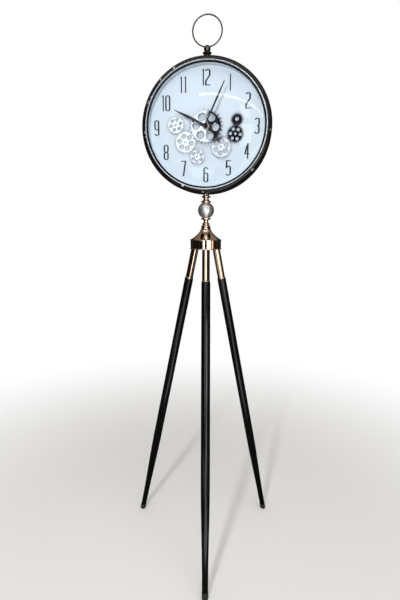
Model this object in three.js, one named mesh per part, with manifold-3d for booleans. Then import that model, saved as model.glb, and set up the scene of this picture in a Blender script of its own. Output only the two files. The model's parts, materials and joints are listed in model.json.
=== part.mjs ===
// A floor clock on a tripod: a drum-shaped clock head with a train of open gears in front of its dial,
// a watch-style bow on top, a turned stem, and three legs screwed into a plated hub.
// Millimetres, +Z up, the dial faces -Y. The origin is on the floor, in the middle of the clock's box.

import * as THREE from "three";
import { mergeVertices } from "three/addons/utils/BufferGeometryUtils.js";
import Module from "manifold-3d";

const wasm = await Module();
wasm.setup();

// Clearances and cutting allowances
const seatGap = 0.3; // between faces that touch
const runningGap = 0.3; // around a shaft, screw or tube in its hole
const overrun = 5; // how far a cutter runs past what it cuts
const joinLap = 0.4; // how deep joined forms enter each other

// Tripod
const footCircleRadius = 244.5;
const hubUndersideHeight = 917;
const legCircleRadius = 35; // leg axes at the hub's underside
const headTurn = THREE.MathUtils.degToRad(8); // the dial looks this far aside from the front leg
const legCount = 3;
const legNames = ["front", "right", "left"];

const legDiameter = 25;
const ankleDiameter = 17.5;
const legEndDiameter = 16.5;
const legEdgeRound = 1.2;
const taperHeight = 252; // the leg narrows below this height
const ankleHeight = 98;
const legTenonDiameter = 12.5; // what enters the rubber foot

const ferruleDiameter = 21.5;
const ferruleWall = 1.2;
const ferruleLength = 90;
const ferruleLipDiameter = 23.6;
const ferruleLipLength = 2.6;
const ferruleLipSlope = 1.04; // length of the slope that leads to the lip

const studDiameter = 8;
const studInHub = 12;
const studInLeg = 42;

const footDiameter = 17.6;
const footHeight = 19;
const footSole = 6;
const footEdgeRound = 2.2;

// Hub and stem
const hubDiameter = 86.4;
const hubHeight = 24;
const hubWall = 2;
const hubBase = 8;
const hubBeadHeight = 1.8;
const hubBeadOverhang = 1.4;
const hubBeadSlope = 0.9; // height of the slope from the bead to the hub's wall

const bellHeight = 37.4;
const bellNeckRadius = 12.6;
const bellWall = 1.4;
const bellRimHeight = 1.8;
const bellFlareShare = 1.22; // above 1 the skirt is hollow like a trumpet

const rodDiameter = 8;
const rodBelowNut = 3;
const nutAcrossFlats = 13;
const nutHeight = 6.5;

const lowerSpindleHeight = 24.4;
const upperSpindleHeight = 22;
const spindleDiscRadius = 13.4;
const spindleFootRadius = 13;
const spindleBandRadius = 10.6;
const spindleTopRadius = 12;
const spindleNeckRadius = 6.8;
const coveRadius = 7.8; // the hollow above the lower spindle's foot
const upperNeckRadius = 7.5;

const ballDiameter = 45;
const ballFlatRadius = 9;

// Clock case
const caseRadius = 174.6;
const caseDepth = 52;
const caseWall = 1.5;
const rimWidth = 11.9; // from the bezel's outer edge to the case's outside
const rimDepth = 13; // depth of the rounded front rim
const backEdgeRound = 4;
const backFlangeWidth = 20;
const backCoverInset = 9.5; // from the case's outside to the cover's edge
const backCoverThickness = 2.2;
const coverScrewCount = 3;
const coverScrewInset = 15.5;
const coverScrewDiameter = 3;
const coverScrewHeadRadius = 3.3;
const coverScrewHeadHeight = 1.9;
const coverScrewTail = 3;

const bezelWidth = 3.2;
const bezelHeight = 1.9;
const lipShare = 0.75; // of the bezel's width, what rests on the case's lip
const ledgeWidth = 4.6; // black ledge seen between the bezel and the dial
const innerRingWall = 1.5;
const glassThickness = 2;
const glassClearance = 2.5; // between the hand cap and the glass
const domeShare = 3; // exponent of the dome's outline; 2 is an ellipse
const dialRecess = 16; // from the case's front to the dial
const dialThickness = 1.5;
const dialOverlap = 3.5; // how far the dial reaches behind the inner ring's bore

// Gears in front of the dial
const gearModule = 1.8;
const gearThickness = 2;
const gearStandoff = 1.9; // how far the pin's thick foot stands out of the dial
const addendumShare = 0.9; // of the module
const dedendumShare = 1.5; // of the module
const tipWidthShare = 0.19; // of the tooth pitch
const rootWidthShare = 0.54; // of the tooth pitch
const driveTeeth = 43;
const frontWheelRadius = 46;
const frontWheelTeeth = 26;
const frontWheelToothHeight = 4.4;
const frontWheelTipShare = 0.26; // of the tooth pitch
const frontWheelRootShare = 0.46; // of the tooth pitch
const frontWheelHoleRadius = 11;
const driveWheelHoleRadius = 8.8;
const frontWheelHoleCircle = 27;
const frontWheelFirstHole = THREE.MathUtils.degToRad(-5); // from the 3 upwards
const sleeveRadius = 7.6;
const sleeveShoulder = 1.4; // the step that the front wheel rests on
const frontWheelSpacing = 2.2; // air between the two centre wheels
const gearHoleCount = 6;
const gearPinDiameter = 4;
const gearPostRadius = 3.4; // the thick foot of the pin, which keeps the gear off the dial
const gearPinHeadRadius = 3.4;
const gearPinHeadHeight = 1.8;
const gearPinTail = 3.2;
const domedHeadShare = 0.6; // of a head's radius, its flat top
const capWallShare = 0.6; // of the cap's height, its upright side
const pinionCollarRadius = 8.8;
const pinionCollarHeight = 2.4;

// Hand work
const bushRadius = 5;
const bushBehindDial = 4;
const bushNutAcrossFlats = 14;
const bushNutHeight = 4;
const bushBeyondNut = 4;
const hourTubeRadius = 3.3;
const arborRadius = 1.6;
const handThickness = 0.8;
const handColletLength = 2.6;
const handGap = 1.4; // air between a hand and what is behind or in front of it
const hourHandLength = 93;
const hourHandWidth = 5.2;
const hourHubRadius = 6.2;
const minuteHandLength = 124;
const minuteHandWidth = 4.2;
const minuteHubRadius = 5.2;
const hourHandAngle = THREE.MathUtils.degToRad(295.7); // clockwise from the 12
const minuteHandAngle = THREE.MathUtils.degToRad(24.9);
const capRadius = 3.4;
const capHeight = 3;
const capSocket = 2; // how deep the arbor enters the cap

// Movement and gear motor behind the dial
const movementSize = 56;
const movementDepth = 16;
const movementBelowArbor = 18;
const movementCornerRadius = 5;
const cellDiameter = 14.2;
const cellLength = 50;
const cellNubRadius = 2.7;
const cellNubLength = 1.2;
const bayClearance = 0.6;
const bayWall = 1.5;
const knobRadius = 6.5;
const knobHeight = 4.5;
const knobStemRadius = 2;
const knobStemLength = 4;
const knobOffset = 9; // beside the arbor
const motorWidth = 60;
const motorHeight = 38;
const motorDepth = 18;
const motorAboveShaft = 8;
const windowMargin = 5;
const windowCornerRadius = 0.8;
const windowBridge = 10; // what the cover keeps between its two windows

// Pendant and bow
const pendantSpigotRadius = 5;
const pendantSpigotLength = 5;
const pendantFootRadius = 7;
const pendantCupRadius = 11;
const pendantFlangeRadius = 12;
const pendantFlangeHeight = 2.6;
const pendantFlangeSlope = 0.9; // height of the flange's sloping top
const pendantFootHeight = 2.9;
const pendantHeight = 11.4;
const pendantBallDiameter = 18;
const pendantBallFlatRadius = 4;
const pendantTipHeight = 1.6;
const pendantTipRadius = 1.7;
const bowOuterDiameter = 81.2;
const bowWireDiameter = 3.2;
const bowPivotRise = 5; // above the pendant ball's centre
const bowRise = 43; // from the pendant ball's centre to the bow's centre
const bowPinLength = 5; // the straight end of the wire, inside the ball

// Facets round each kind of piece
const caseSides = 32;
const hubSides = 20;
const stemSides = 16;
const legSides = 12;
const smallSides = 10;
const holeSides = 8;
const wireSides = 6;

// Places worked out from the sizes above
const legTilt = Math.atan((footCircleRadius - legCircleRadius) / hubUndersideHeight);
const legLength = Math.hypot(footCircleRadius - legCircleRadius, hubUndersideHeight);
const hubTop = hubUndersideHeight + hubHeight;
const bellBase = hubTop + seatGap;
const lowerSpindleBase = bellBase + bellHeight + seatGap;
const ballFlatHeight = Math.sqrt((ballDiameter / 2) ** 2 - ballFlatRadius ** 2);
const ballCentre = lowerSpindleBase + lowerSpindleHeight + seatGap + ballFlatHeight;
const upperSpindleBase = ballCentre + ballFlatHeight + seatGap;
const caseBottom = upperSpindleBase + upperSpindleHeight + seatGap;
const caseCentre = caseBottom + caseRadius;

const caseFront = -caseDepth / 2;
const caseBack = caseDepth / 2;
const rimStart = caseRadius - rimWidth; // where the flat lip ends and the rounded rim begins
const bezelRadius = rimStart - bezelWidth / 2;
const lipRadius = rimStart - bezelWidth * lipShare;
const glassRadius = bezelRadius - bezelWidth / 2 - seatGap;
const ringBore = bezelRadius - bezelWidth / 2 - ledgeWidth;
const ringFront = caseFront + caseWall + seatGap;
const dialFront = caseFront + dialRecess;
const dialBack = dialFront + dialThickness;
const dialRadius = ringBore + dialOverlap;

const gearBack = gearStandoff + seatGap; // distances in front of the dial from here on
const gearFace = gearBack + gearThickness;
const frontWheelBack = gearFace + frontWheelSpacing;
const frontWheelFace = frontWheelBack + gearThickness;
const bushNutBack = frontWheelFace + 2 * seatGap + joinLap;
const bushEnd = bushNutBack + bushNutHeight + bushBeyondNut;
const hourHandBack = bushEnd + handGap / 2 + handColletLength;
const hourTubeEnd = hourHandBack + handThickness + seatGap;
const minuteHandBack = hourTubeEnd + handGap + handColletLength;
const capBack = minuteHandBack + handThickness + seatGap;
const arborEnd = capBack + capSocket;
const domeInnerRise = capBack + capHeight + glassClearance - (dialFront - ringFront) + seatGap;

// Finishes
const finish = {
  blackPaint: { color: 0x0b0b0c, roughness: 0.22, metalness: 0.1 },
  blackSatin: { color: 0x111214, roughness: 0.42, metalness: 0.05 },
  blackNickel: { color: 0x17181b, roughness: 0.18, metalness: 0.9 },
  chrome: { color: 0xd9dde2, roughness: 0.1, metalness: 1 },
  satinSilver: { color: 0xc3c6c8, roughness: 0.38, metalness: 0.9 },
  roseGold: { color: 0xd6a878, roughness: 0.12, metalness: 1 },
  brass: { color: 0xb8935a, roughness: 0.3, metalness: 1 },
  steel: { color: 0x9a9da1, roughness: 0.4, metalness: 1 },
  silverDial: { color: 0xdfe6ea, roughness: 0.45, metalness: 0.2 },
  glass: { color: 0xf4f8fa, roughness: 0.03, metalness: 0 },
  rubber: { color: 0x141414, roughness: 0.85, metalness: 0 },
  blackPlastic: { color: 0x1b1b1d, roughness: 0.5, metalness: 0 },
  whitePlastic: { color: 0xd8d8d4, roughness: 0.5, metalness: 0 },
};
const materials = Object.fromEntries(
  Object.entries(finish).map(([name, look]) => [name, new THREE.MeshStandardMaterial(look)]),
);

// A named mesh of one geometry in one of the finishes.
function piece(name, geometry, material) {
  const mesh = new THREE.Mesh(geometry, materials[material]);
  mesh.name = name;
  return mesh;
}

// A closed geometry as a solid that can be joined and cut.
function solidOf(geometry) {
  const bare = geometry.clone();
  bare.deleteAttribute("normal");
  bare.deleteAttribute("uv");
  const merged = mergeVertices(bare);
  return new wasm.Manifold(
    new wasm.Mesh({
      numProp: 3,
      vertProperties: merged.attributes.position.array,
      triVerts: new Uint32Array(merged.index.array),
    }),
  );
}

// A solid as a geometry again.
function geometryOf(solid) {
  const mesh = solid.getMesh();
  const geometry = new THREE.BufferGeometry();
  geometry.setAttribute("position", new THREE.BufferAttribute(mesh.vertProperties, mesh.numProp));
  geometry.setIndex(new THREE.BufferAttribute(mesh.triVerts, 1));
  return geometry;
}

// The base geometry joined with the added ones and then cut by the cutters.
function shaped(base, added, cutters) {
  let solid = solidOf(base);
  for (const geometry of added) solid = solid.add(solidOf(geometry));
  for (const geometry of cutters) solid = solid.subtract(solidOf(geometry));
  return geometryOf(solid);
}

// A turned solid about the Y axis. Its outline is [radius, y] points, closed or ending on the axis.
function turned(outline, sides) {
  const first = outline[0];
  const last = outline[outline.length - 1];
  const closed = first[0] === 0 && last[0] === 0 ? outline : [...outline, first];
  let area = 0;
  closed.forEach(([r, y], i) => {
    const [nextR, nextY] = closed[(i + 1) % closed.length];
    area += r * nextY - nextR * y;
  });
  const ordered = area > 0 ? closed : [...closed].reverse();
  return new THREE.LatheGeometry(
    ordered.map(([r, y]) => new THREE.Vector2(r, y)),
    sides,
  );
}

// The same, standing upright about the Z axis.
function turnedUpright(outline, sides) {
  return turned(outline, sides).rotateX(Math.PI / 2);
}

// A plain round bar between two places on the Y axis.
function barAlongY(radius, from, to, sides) {
  return turned([[0, from], [radius, from], [radius, to], [0, to]], sides);
}

function barUpright(radius, from, to, sides) {
  return barAlongY(radius, from, to, sides).rotateX(Math.PI / 2);
}

// A tube between two places on the Y axis.
function tubeAlongY(outer, inner, from, to, sides) {
  return turned([[inner, from], [outer, from], [outer, to], [inner, to]], sides);
}

// A flat plate parallel to the dial. The shape's y runs upwards, and the plate grows from its back.
function plate(shape, thickness, back) {
  const geometry = new THREE.ExtrudeGeometry(shape, {
    depth: thickness,
    bevelEnabled: false,
    curveSegments: holeSides / 2,
  });
  return geometry.rotateX(Math.PI / 2).translate(0, back, 0);
}

// A circle's corners, the first one straight above its centre, as on the turned pieces.
function circlePoints(x, z, radius, sides) {
  const points = [];
  for (let i = 0; i < sides; i++) {
    const angle = (i / sides) * 2 * Math.PI;
    points.push(new THREE.Vector2(x - radius * Math.sin(angle), z + radius * Math.cos(angle)));
  }
  return points;
}

function roundHole(x, z, radius, sides = holeSides) {
  return new THREE.Path(circlePoints(x, z, radius, sides));
}

function roundShape(radius, sides) {
  return new THREE.Shape(circlePoints(0, 0, radius, sides));
}

// A rectangle with rounded corners around a centre.
function roundedBox(width, height, x, z, radius, Kind = THREE.Shape) {
  const outline = new Kind();
  const left = x - width / 2;
  const right = x + width / 2;
  const low = z - height / 2;
  const high = z + height / 2;
  outline.moveTo(left + radius, low);
  outline.lineTo(right - radius, low);
  outline.quadraticCurveTo(right, low, right, low + radius);
  outline.lineTo(right, high - radius);
  outline.quadraticCurveTo(right, high, right - radius, high);
  outline.lineTo(left + radius, high);
  outline.quadraticCurveTo(left, high, left, high - radius);
  outline.lineTo(left, low + radius);
  outline.quadraticCurveTo(left, low, left + radius, low);
  return outline;
}

function hexNut(acrossFlats, bore, height) {
  const corner = acrossFlats / Math.sqrt(3);
  const shape = roundShape(corner, 6);
  shape.holes.push(roundHole(0, 0, bore, smallSides));
  return new THREE.ExtrudeGeometry(shape, { depth: height, bevelEnabled: false });
}

// Hub: a plated cup with a thick base, bored for the rod and, on the legs' slant, for their studs.
function legAngle(index) {
  return headTurn - Math.PI / 2 + (index / legCount) * 2 * Math.PI;
}

function slantedAlongLeg(geometry, index) {
  return geometry.rotateY(-legTilt).translate(legCircleRadius, 0, 0).rotateZ(legAngle(index));
}

function makeHubDrum() {
  const radius = hubDiameter / 2;
  const bore = rodDiameter / 2 + runningGap;
  const cup = turnedUpright(
    [
      [bore, 0],
      [radius + hubBeadOverhang, 0],
      [radius + hubBeadOverhang, hubBeadHeight],
      [radius, hubBeadHeight + hubBeadSlope],
      [radius, hubHeight],
      [radius - hubWall, hubHeight],
      [radius - hubWall, hubBase],
      [bore, hubBase],
    ],
    hubSides,
  );
  const holes = legNames.map((_, index) =>
    slantedAlongLeg(
      barUpright(studDiameter / 2 + runningGap, -overrun, hubBase + overrun, smallSides),
      index,
    ),
  );
  const drum = piece("hub_drum", shaped(cup, [], holes), "roseGold");
  drum.position.z = hubUndersideHeight;
  return drum;
}

// Bell cover: a spun trumpet-shaped lid over the hub.
function makeBellCover() {
  const rim = hubDiameter / 2 + hubBeadOverhang;
  const skirt = hubDiameter / 2;
  const bore = rodDiameter / 2 + runningGap;
  const steps = 4;
  const outside = [];
  const inside = [];
  for (let i = 0; i <= steps; i++) {
    const share = i / steps;
    const height = bellRimHeight + (bellHeight - bellRimHeight) * share;
    const radius = bellNeckRadius + (skirt - bellNeckRadius) * (1 - share) ** bellFlareShare;
    outside.push([radius, height]);
    if (i < steps) inside.unshift([radius - bellWall, Math.max(height - bellWall, 0)]);
  }
  const outline = [
    [skirt - 2 * bellWall, 0],
    [rim, 0],
    [rim, bellRimHeight],
    ...outside,
    [bore, bellHeight],
    [bore, bellHeight - bellWall],
    ...inside.slice(0, -1),
  ];
  const cover = piece("bell_cover", turnedUpright(outline, hubSides), "roseGold");
  cover.position.z = bellBase;
  return cover;
}

// Stem: two turned spindles with a ball between them, all threaded on one rod.
function makeLowerSpindle() {
  const bore = rodDiameter / 2 + runningGap;
  const height = lowerSpindleHeight;
  const heightShares = {
    foot: 0.15,
    cove: 0.22,
    bandLow: 0.27,
    bandHigh: 0.36,
    neckLow: 0.45,
    neckHigh: 0.76,
    disc: 0.86,
  };
  const outline = [
    [bore, 0],
    [spindleFootRadius, 0],
    [spindleFootRadius, height * heightShares.foot],
    [coveRadius, height * heightShares.cove],
    [spindleBandRadius, height * heightShares.bandLow],
    [spindleBandRadius, height * heightShares.bandHigh],
    [spindleNeckRadius, height * heightShares.neckLow],
    [spindleNeckRadius, height * heightShares.neckHigh],
    [spindleDiscRadius, height * heightShares.disc],
    [spindleDiscRadius, height],
    [bore, height],
  ];
  const spindle = piece("lower_spindle", turnedUpright(outline, stemSides), "roseGold");
  spindle.position.z = lowerSpindleBase;
  return spindle;
}

function makeSpindleBall() {
  const radius = ballDiameter / 2;
  const bore = rodDiameter / 2 + runningGap;
  const steps = 7;
  const start = Math.asin(ballFlatRadius / radius);
  const outline = [[bore, -ballFlatHeight]];
  for (let i = 0; i <= steps; i++) {
    const angle = start + (i / steps) * (Math.PI - 2 * start);
    outline.push([radius * Math.sin(angle), -radius * Math.cos(angle)]);
  }
  outline.push([bore, ballFlatHeight]);
  const ball = piece("spindle_ball", turnedUpright(outline, stemSides), "satinSilver");
  ball.position.z = ballCentre;
  return ball;
}

function makeUpperSpindle() {
  const bore = rodDiameter / 2 + runningGap;
  const height = upperSpindleHeight;
  const heightShares = { disc: 0.18, neckLow: 0.36, neckHigh: 0.7, top: 0.8 };
  const outline = [
    [bore, 0],
    [spindleDiscRadius, 0],
    [spindleDiscRadius, height * heightShares.disc],
    [upperNeckRadius, height * heightShares.neckLow],
    [upperNeckRadius, height * heightShares.neckHigh],
    [spindleTopRadius, height * heightShares.top],
    [spindleTopRadius, height],
    [bore, height],
  ];
  const spindle = piece("upper_spindle", turnedUpright(outline, stemSides), "roseGold");
  spindle.position.z = upperSpindleBase;
  return spindle;
}

// Rod and its two nuts: one under the hub, one inside the case.
function makeRodAndNuts() {
  const corner = nutAcrossFlats / Math.sqrt(3);
  const innerFlat = (caseRadius - caseWall) * Math.cos(Math.PI / caseSides);
  const caseNutBase = caseCentre - Math.sqrt(innerFlat ** 2 - corner ** 2) + seatGap;
  const rodLow = hubUndersideHeight - seatGap - nutHeight - rodBelowNut;
  const rodHigh = caseNutBase + nutHeight + rodBelowNut / 2;
  const rod = piece("threaded_rod", barUpright(rodDiameter / 2, rodLow, rodHigh, smallSides), "steel");
  const nutGeometry = hexNut(nutAcrossFlats, rodDiameter / 2 + runningGap, nutHeight);
  const hubNut = piece("hub_nut", nutGeometry, "steel");
  hubNut.position.z = hubUndersideHeight - seatGap - nutHeight;
  const caseNut = piece("case_nut", nutGeometry, "steel");
  caseNut.position.z = caseNutBase;
  return [rod, hubNut, caseNut];
}

// One leg, drawn down its own axis from the hub's underside, with what belongs to it.
function makeLeg(index) {
  const name = legNames[index];
  const outer = new THREE.Group();
  outer.rotation.z = legAngle(index);
  const leg = new THREE.Group();
  leg.position.set(legCircleRadius, 0, hubUndersideHeight);
  leg.rotation.y = -legTilt;
  outer.add(leg);

  const blockSize = ferruleLength * 2;
  const aboveHub = new THREE.BoxGeometry(blockSize, blockSize, blockSize)
    .translate(0, 0, blockSize / 2 - seatGap)
    .rotateY(legTilt);
  const belowFloor = new THREE.BoxGeometry(blockSize, blockSize, blockSize)
    .translate(footCircleRadius - legCircleRadius, 0, -hubUndersideHeight - blockSize / 2)
    .rotateY(legTilt);

  const tenon = ferruleDiameter / 2 - ferruleWall - seatGap;
  const studBore = studDiameter / 2 + runningGap;
  const studBoreDepth = studInLeg + seatGap;
  const shoulder = ferruleLength + seatGap;
  const along = Math.cos(legTilt); // height to length along the leg
  const legEnd = legLength - footSole;
  const footTop = legLength - footHeight;
  const wood = turnedUpright(
    [
      [0, -studBoreDepth],
      [studBore, -studBoreDepth],
      [studBore, overrun],
      [tenon, overrun],
      [tenon, -shoulder],
      [legDiameter / 2 - legEdgeRound, -shoulder],
      [legDiameter / 2, -shoulder - legEdgeRound],
      [legDiameter / 2, -(legLength - taperHeight / along)],
      [ankleDiameter / 2, -(legLength - ankleHeight / along)],
      [legEndDiameter / 2, -footTop + seatGap],
      [legTenonDiameter / 2, -footTop + seatGap],
      [legTenonDiameter / 2, -legEnd],
      [0, -legEnd],
    ],
    legSides,
  );
  leg.add(piece("leg_" + name, shaped(wood, [], [aboveHub]), "blackSatin"));

  const sleeve = turnedUpright(
    [
      [ferruleDiameter / 2 - ferruleWall, overrun],
      [ferruleDiameter / 2, overrun],
      [ferruleDiameter / 2, -(ferruleLength - ferruleLipLength - ferruleLipSlope)],
      [ferruleLipDiameter / 2, -(ferruleLength - ferruleLipLength)],
      [ferruleLipDiameter / 2, -ferruleLength],
      [ferruleDiameter / 2 - ferruleWall, -ferruleLength],
    ],
    legSides,
  );
  leg.add(piece("ferrule_" + name, shaped(sleeve, [], [aboveHub]), "roseGold"));

  const stud = barUpright(studDiameter / 2, -studInLeg, studInHub, smallSides);
  leg.add(piece("leg_stud_" + name, stud, "steel"));

  const footInside = legTenonDiameter / 2 + seatGap;
  const foot = turnedUpright(
    [
      [footInside, -footTop],
      [footDiameter / 2, -footTop],
      [footDiameter / 2, -legLength + footEdgeRound],
      [footDiameter / 2 - footEdgeRound, -legLength - overrun / 2],
      [0, -legLength - overrun / 2],
      [0, -legEnd - seatGap],
      [footInside, -legEnd - seatGap],
    ],
    legSides,
  );
  leg.add(piece("rubber_foot_" + name, shaped(foot, [], [belowFloor]), "rubber"));
  return outer;
}

// Case: a spun drum with a rounded front rim, a lip for the bezel and a flange for the back cover.
function makeCaseShell() {
  const rimCurve = (inset, steps) => {
    const points = [];
    for (let i = 0; i <= steps; i++) {
      const angle = (i / steps) * (Math.PI / 2);
      points.push([
        rimStart + (rimWidth - inset) * Math.sin(angle),
        caseFront + rimDepth - (rimDepth - inset) * Math.cos(angle),
      ]);
    }
    return points;
  };
  const outline = [
    [lipRadius, caseFront],
    ...rimCurve(0, 4),
    [caseRadius, caseBack - backEdgeRound],
    [caseRadius - backEdgeRound, caseBack],
    [caseRadius - backFlangeWidth, caseBack],
    [caseRadius - backFlangeWidth, caseBack - caseWall],
    [caseRadius - backEdgeRound, caseBack - caseWall],
    [caseRadius - caseWall, caseBack - backEdgeRound],
    ...rimCurve(caseWall, 2).reverse(),
    [lipRadius, caseFront + caseWall],
  ];
  const drum = turned(outline, caseSides);
  const pendantHole = barUpright(
    pendantSpigotRadius + runningGap,
    caseRadius - caseWall - overrun,
    caseRadius + overrun,
    smallSides,
  );
  const rodHole = barUpright(
    rodDiameter / 2 + runningGap,
    -caseRadius - overrun,
    -caseRadius + caseWall + overrun,
    smallSides,
  );
  const screwHoles = coverScrewPlaces().map(([x, z]) =>
    barAlongY(coverScrewDiameter / 2 + runningGap, caseBack - overrun, caseBack + overrun, holeSides)
      .translate(x, 0, z),
  );
  return piece("case_shell", shaped(drum, [], [pendantHole, rodHole, ...screwHoles]), "blackPaint");
}

function coverScrewPlaces() {
  const places = [];
  for (let i = 0; i < coverScrewCount; i++) {
    const angle = ((i + 0.5) / coverScrewCount) * 2 * Math.PI;
    const radius = caseRadius - coverScrewInset;
    places.push([radius * Math.cos(angle), radius * Math.sin(angle)]);
  }
  return places;
}

// Bezel: a thin bright ring with sloping flanks on the case's lip.
function makeBezelRing() {
  const back = caseFront - seatGap;
  const half = bezelWidth / 2;
  const outline = [
    [bezelRadius - half, back],
    [bezelRadius - half / 2, back - bezelHeight],
    [bezelRadius + half / 2, back - bezelHeight],
    [bezelRadius + half, back],
  ];
  return piece("bezel_ring", turned(outline, caseSides), "chrome");
}

// Inner ring: a black flanged ring behind the lip that carries the glass in front and the dial behind.
function makeInnerRing() {
  const outline = [
    [ringBore, ringFront],
    [rimStart, ringFront],
    [rimStart, ringFront + innerRingWall],
    [ringBore + innerRingWall, ringFront + innerRingWall],
    [ringBore + innerRingWall, dialFront - seatGap],
    [ringBore, dialFront - seatGap],
  ];
  return piece("inner_ring", turned(outline, caseSides), "blackPaint");
}

// Glass: a dome with a flattened crown and steep shoulders.
function makeGlassDome() {
  const seat = ringFront - seatGap;
  const curve = (radius, rise, steps) => {
    const points = [];
    for (let i = 0; i <= steps; i++) {
      const angle = (i / steps) * (Math.PI / 2);
      points.push([
        i === 0 ? 0 : radius * Math.sin(angle) ** (2 / domeShare),
        seat - (i === steps ? 0 : rise * Math.cos(angle) ** (2 / domeShare)),
      ]);
    }
    return points;
  };
  const outside = curve(glassRadius, domeInnerRise + glassThickness, 4);
  const inside = curve(glassRadius - glassThickness, domeInnerRise, 3).reverse();
  return piece("glass_dome", turned([...outside, ...inside], caseSides), "glass");
}

// Gear train. Each gear turns on a headed pin in the dial, except the one that its motor's shaft turns.
// A gear's place is reached from the one that drives it: a direction, and the sum of the two pitch radii.
const motorGear = "lower_right";
const gears = {
  drive: { teeth: driveTeeth, x: 0, z: 0, phase: 0, pointed: true },
};

function pitchRadius(teeth) {
  return (gearModule * teeth) / 2;
}

function meshGear(name, driver, teeth, degrees, look) {
  const from = gears[driver];
  const direction = THREE.MathUtils.degToRad(degrees);
  const reach = pitchRadius(from.teeth) + pitchRadius(teeth);
  const driverPitch = (2 * Math.PI) / from.teeth;
  const turns = (direction - from.phase) / driverPitch;
  const share = turns - Math.floor(turns);
  gears[name] = {
    teeth,
    x: from.x + reach * Math.cos(direction),
    z: from.z + reach * Math.sin(direction),
    phase: direction + Math.PI + ((share + 0.5) * 2 * Math.PI) / teeth,
    ...look,
  };
}

meshGear("lower_left", "drive", 32, 215, { material: "chrome", holeRadius: 5.6, holeCircle: 15.8 });
meshGear("left", "lower_left", 26, 120.9, { material: "chrome", holeRadius: 3.9, holeCircle: 13.2 });
meshGear("bottom", "lower_left", 23, -49.1, { material: "chrome", holeRadius: 4, holeCircle: 12.2 });
meshGear("lower_right", "drive", 31, -52, { material: "chrome", holeRadius: 5.5, holeCircle: 15.2 });
meshGear("right", "lower_right", 24, 41.8, { material: "blackNickel", holeRadius: 4.4, holeCircle: 13 });
meshGear("upper_right", "right", 17, 83.5, { material: "blackNickel", holeRadius: 0, holeCircle: 0 });

// A toothed outline. A tooth's profile is a few [share of the pitch from its middle, radius] points.
function toothedShape(teeth, phase, profile) {
  const points = [];
  for (let i = 0; i < teeth; i++) {
    for (const [share, radius] of profile) {
      const angle = phase + ((i + share) / teeth) * 2 * Math.PI;
      points.push(new THREE.Vector2(radius * Math.cos(angle), radius * Math.sin(angle)));
    }
  }
  return new THREE.Shape(points);
}

// A straight-sided tooth, wider at its root than at its tip.
function wedgeTooth(tipRadius, rootRadius, tipShare, rootShare) {
  return [
    [-rootShare / 2, rootRadius],
    [-tipShare / 2, tipRadius],
    [tipShare / 2, tipRadius],
    [rootShare / 2, rootRadius],
  ];
}

function ringOfHoles(shape, count, circle, radius, start) {
  for (let i = 0; i < count; i++) {
    const angle = start + (i / count) * 2 * Math.PI;
    shape.holes.push(roundHole(circle * Math.cos(angle), circle * Math.sin(angle), radius));
  }
}

function fineToothedShape(gear) {
  const tipRadius = pitchRadius(gear.teeth) + addendumShare * gearModule;
  const rootRadius = pitchRadius(gear.teeth) - dedendumShare * gearModule;
  const wedge = wedgeTooth(tipRadius, rootRadius, tipWidthShare, rootWidthShare);
  const pointed = [[-1 / 2, rootRadius], [0, tipRadius]];
  return toothedShape(gear.teeth, gear.phase, gear.pointed ? pointed : wedge);
}

function makeGear(name) {
  const gear = gears[name];
  const bore = gearPinDiameter / 2 + runningGap;
  const shape = fineToothedShape(gear);
  shape.holes.push(roundHole(0, 0, bore));
  if (gear.holeRadius > 0) {
    ringOfHoles(shape, gearHoleCount, gear.holeCircle, gear.holeRadius, gear.phase);
  }
  const wheel = plate(shape, gearThickness, -gearBack);
  let geometry = wheel;
  if (name === "upper_right") {
    const face = -gearFace;
    const front = face - pinionCollarHeight;
    const collar = tubeAlongY(pinionCollarRadius, bore, front, face + joinLap, smallSides);
    geometry = shaped(wheel, [collar], []);
  }
  const mesh = piece("gear_" + name, geometry, gear.material);
  mesh.position.set(gear.x, dialFront, gear.z);
  return mesh;
}

function headOnGear(name) {
  const face = gearFace + (name === "upper_right" ? pinionCollarHeight : 0);
  return face + seatGap;
}

function makeGearPin(name) {
  const gear = gears[name];
  const headBack = -headOnGear(name);
  const outline = [
    [0, dialThickness + gearPinTail],
    [gearPostRadius, dialThickness + gearPinTail],
    [gearPostRadius, -gearStandoff],
    [gearPinDiameter / 2, -gearStandoff],
    [gearPinDiameter / 2, headBack],
    [gearPinHeadRadius, headBack],
    [gearPinHeadRadius * domedHeadShare, headBack - gearPinHeadHeight],
    [0, headBack - gearPinHeadHeight],
  ];
  const mesh = piece("gear_pin_" + name, turned(outline, holeSides), "chrome");
  mesh.position.set(gear.x, dialFront, gear.z);
  return mesh;
}

// Centre: a finely toothed drive wheel on a sleeve round the bush, with the coarse show wheel in front of it.
function makeDriveWheel() {
  const bore = bushRadius + runningGap;
  const shape = fineToothedShape(gears.drive);
  shape.holes.push(roundHole(0, 0, bore, smallSides));
  ringOfHoles(shape, gearHoleCount, frontWheelHoleCircle, driveWheelHoleRadius, 0);
  const wheel = plate(shape, gearThickness, -gearBack);
  const shoulder = sleeveRadius + sleeveShoulder;
  const sleeve = turned(
    [
      [bore, -seatGap],
      [shoulder, -seatGap],
      [shoulder, -frontWheelBack + seatGap],
      [sleeveRadius, -frontWheelBack + seatGap],
      [sleeveRadius, -frontWheelFace - joinLap],
      [bore, -frontWheelFace - joinLap],
    ],
    smallSides,
  );
  const mesh = piece("centre_drive_wheel", shaped(wheel, [sleeve], []), "chrome");
  mesh.position.y = dialFront;
  return mesh;
}

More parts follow.
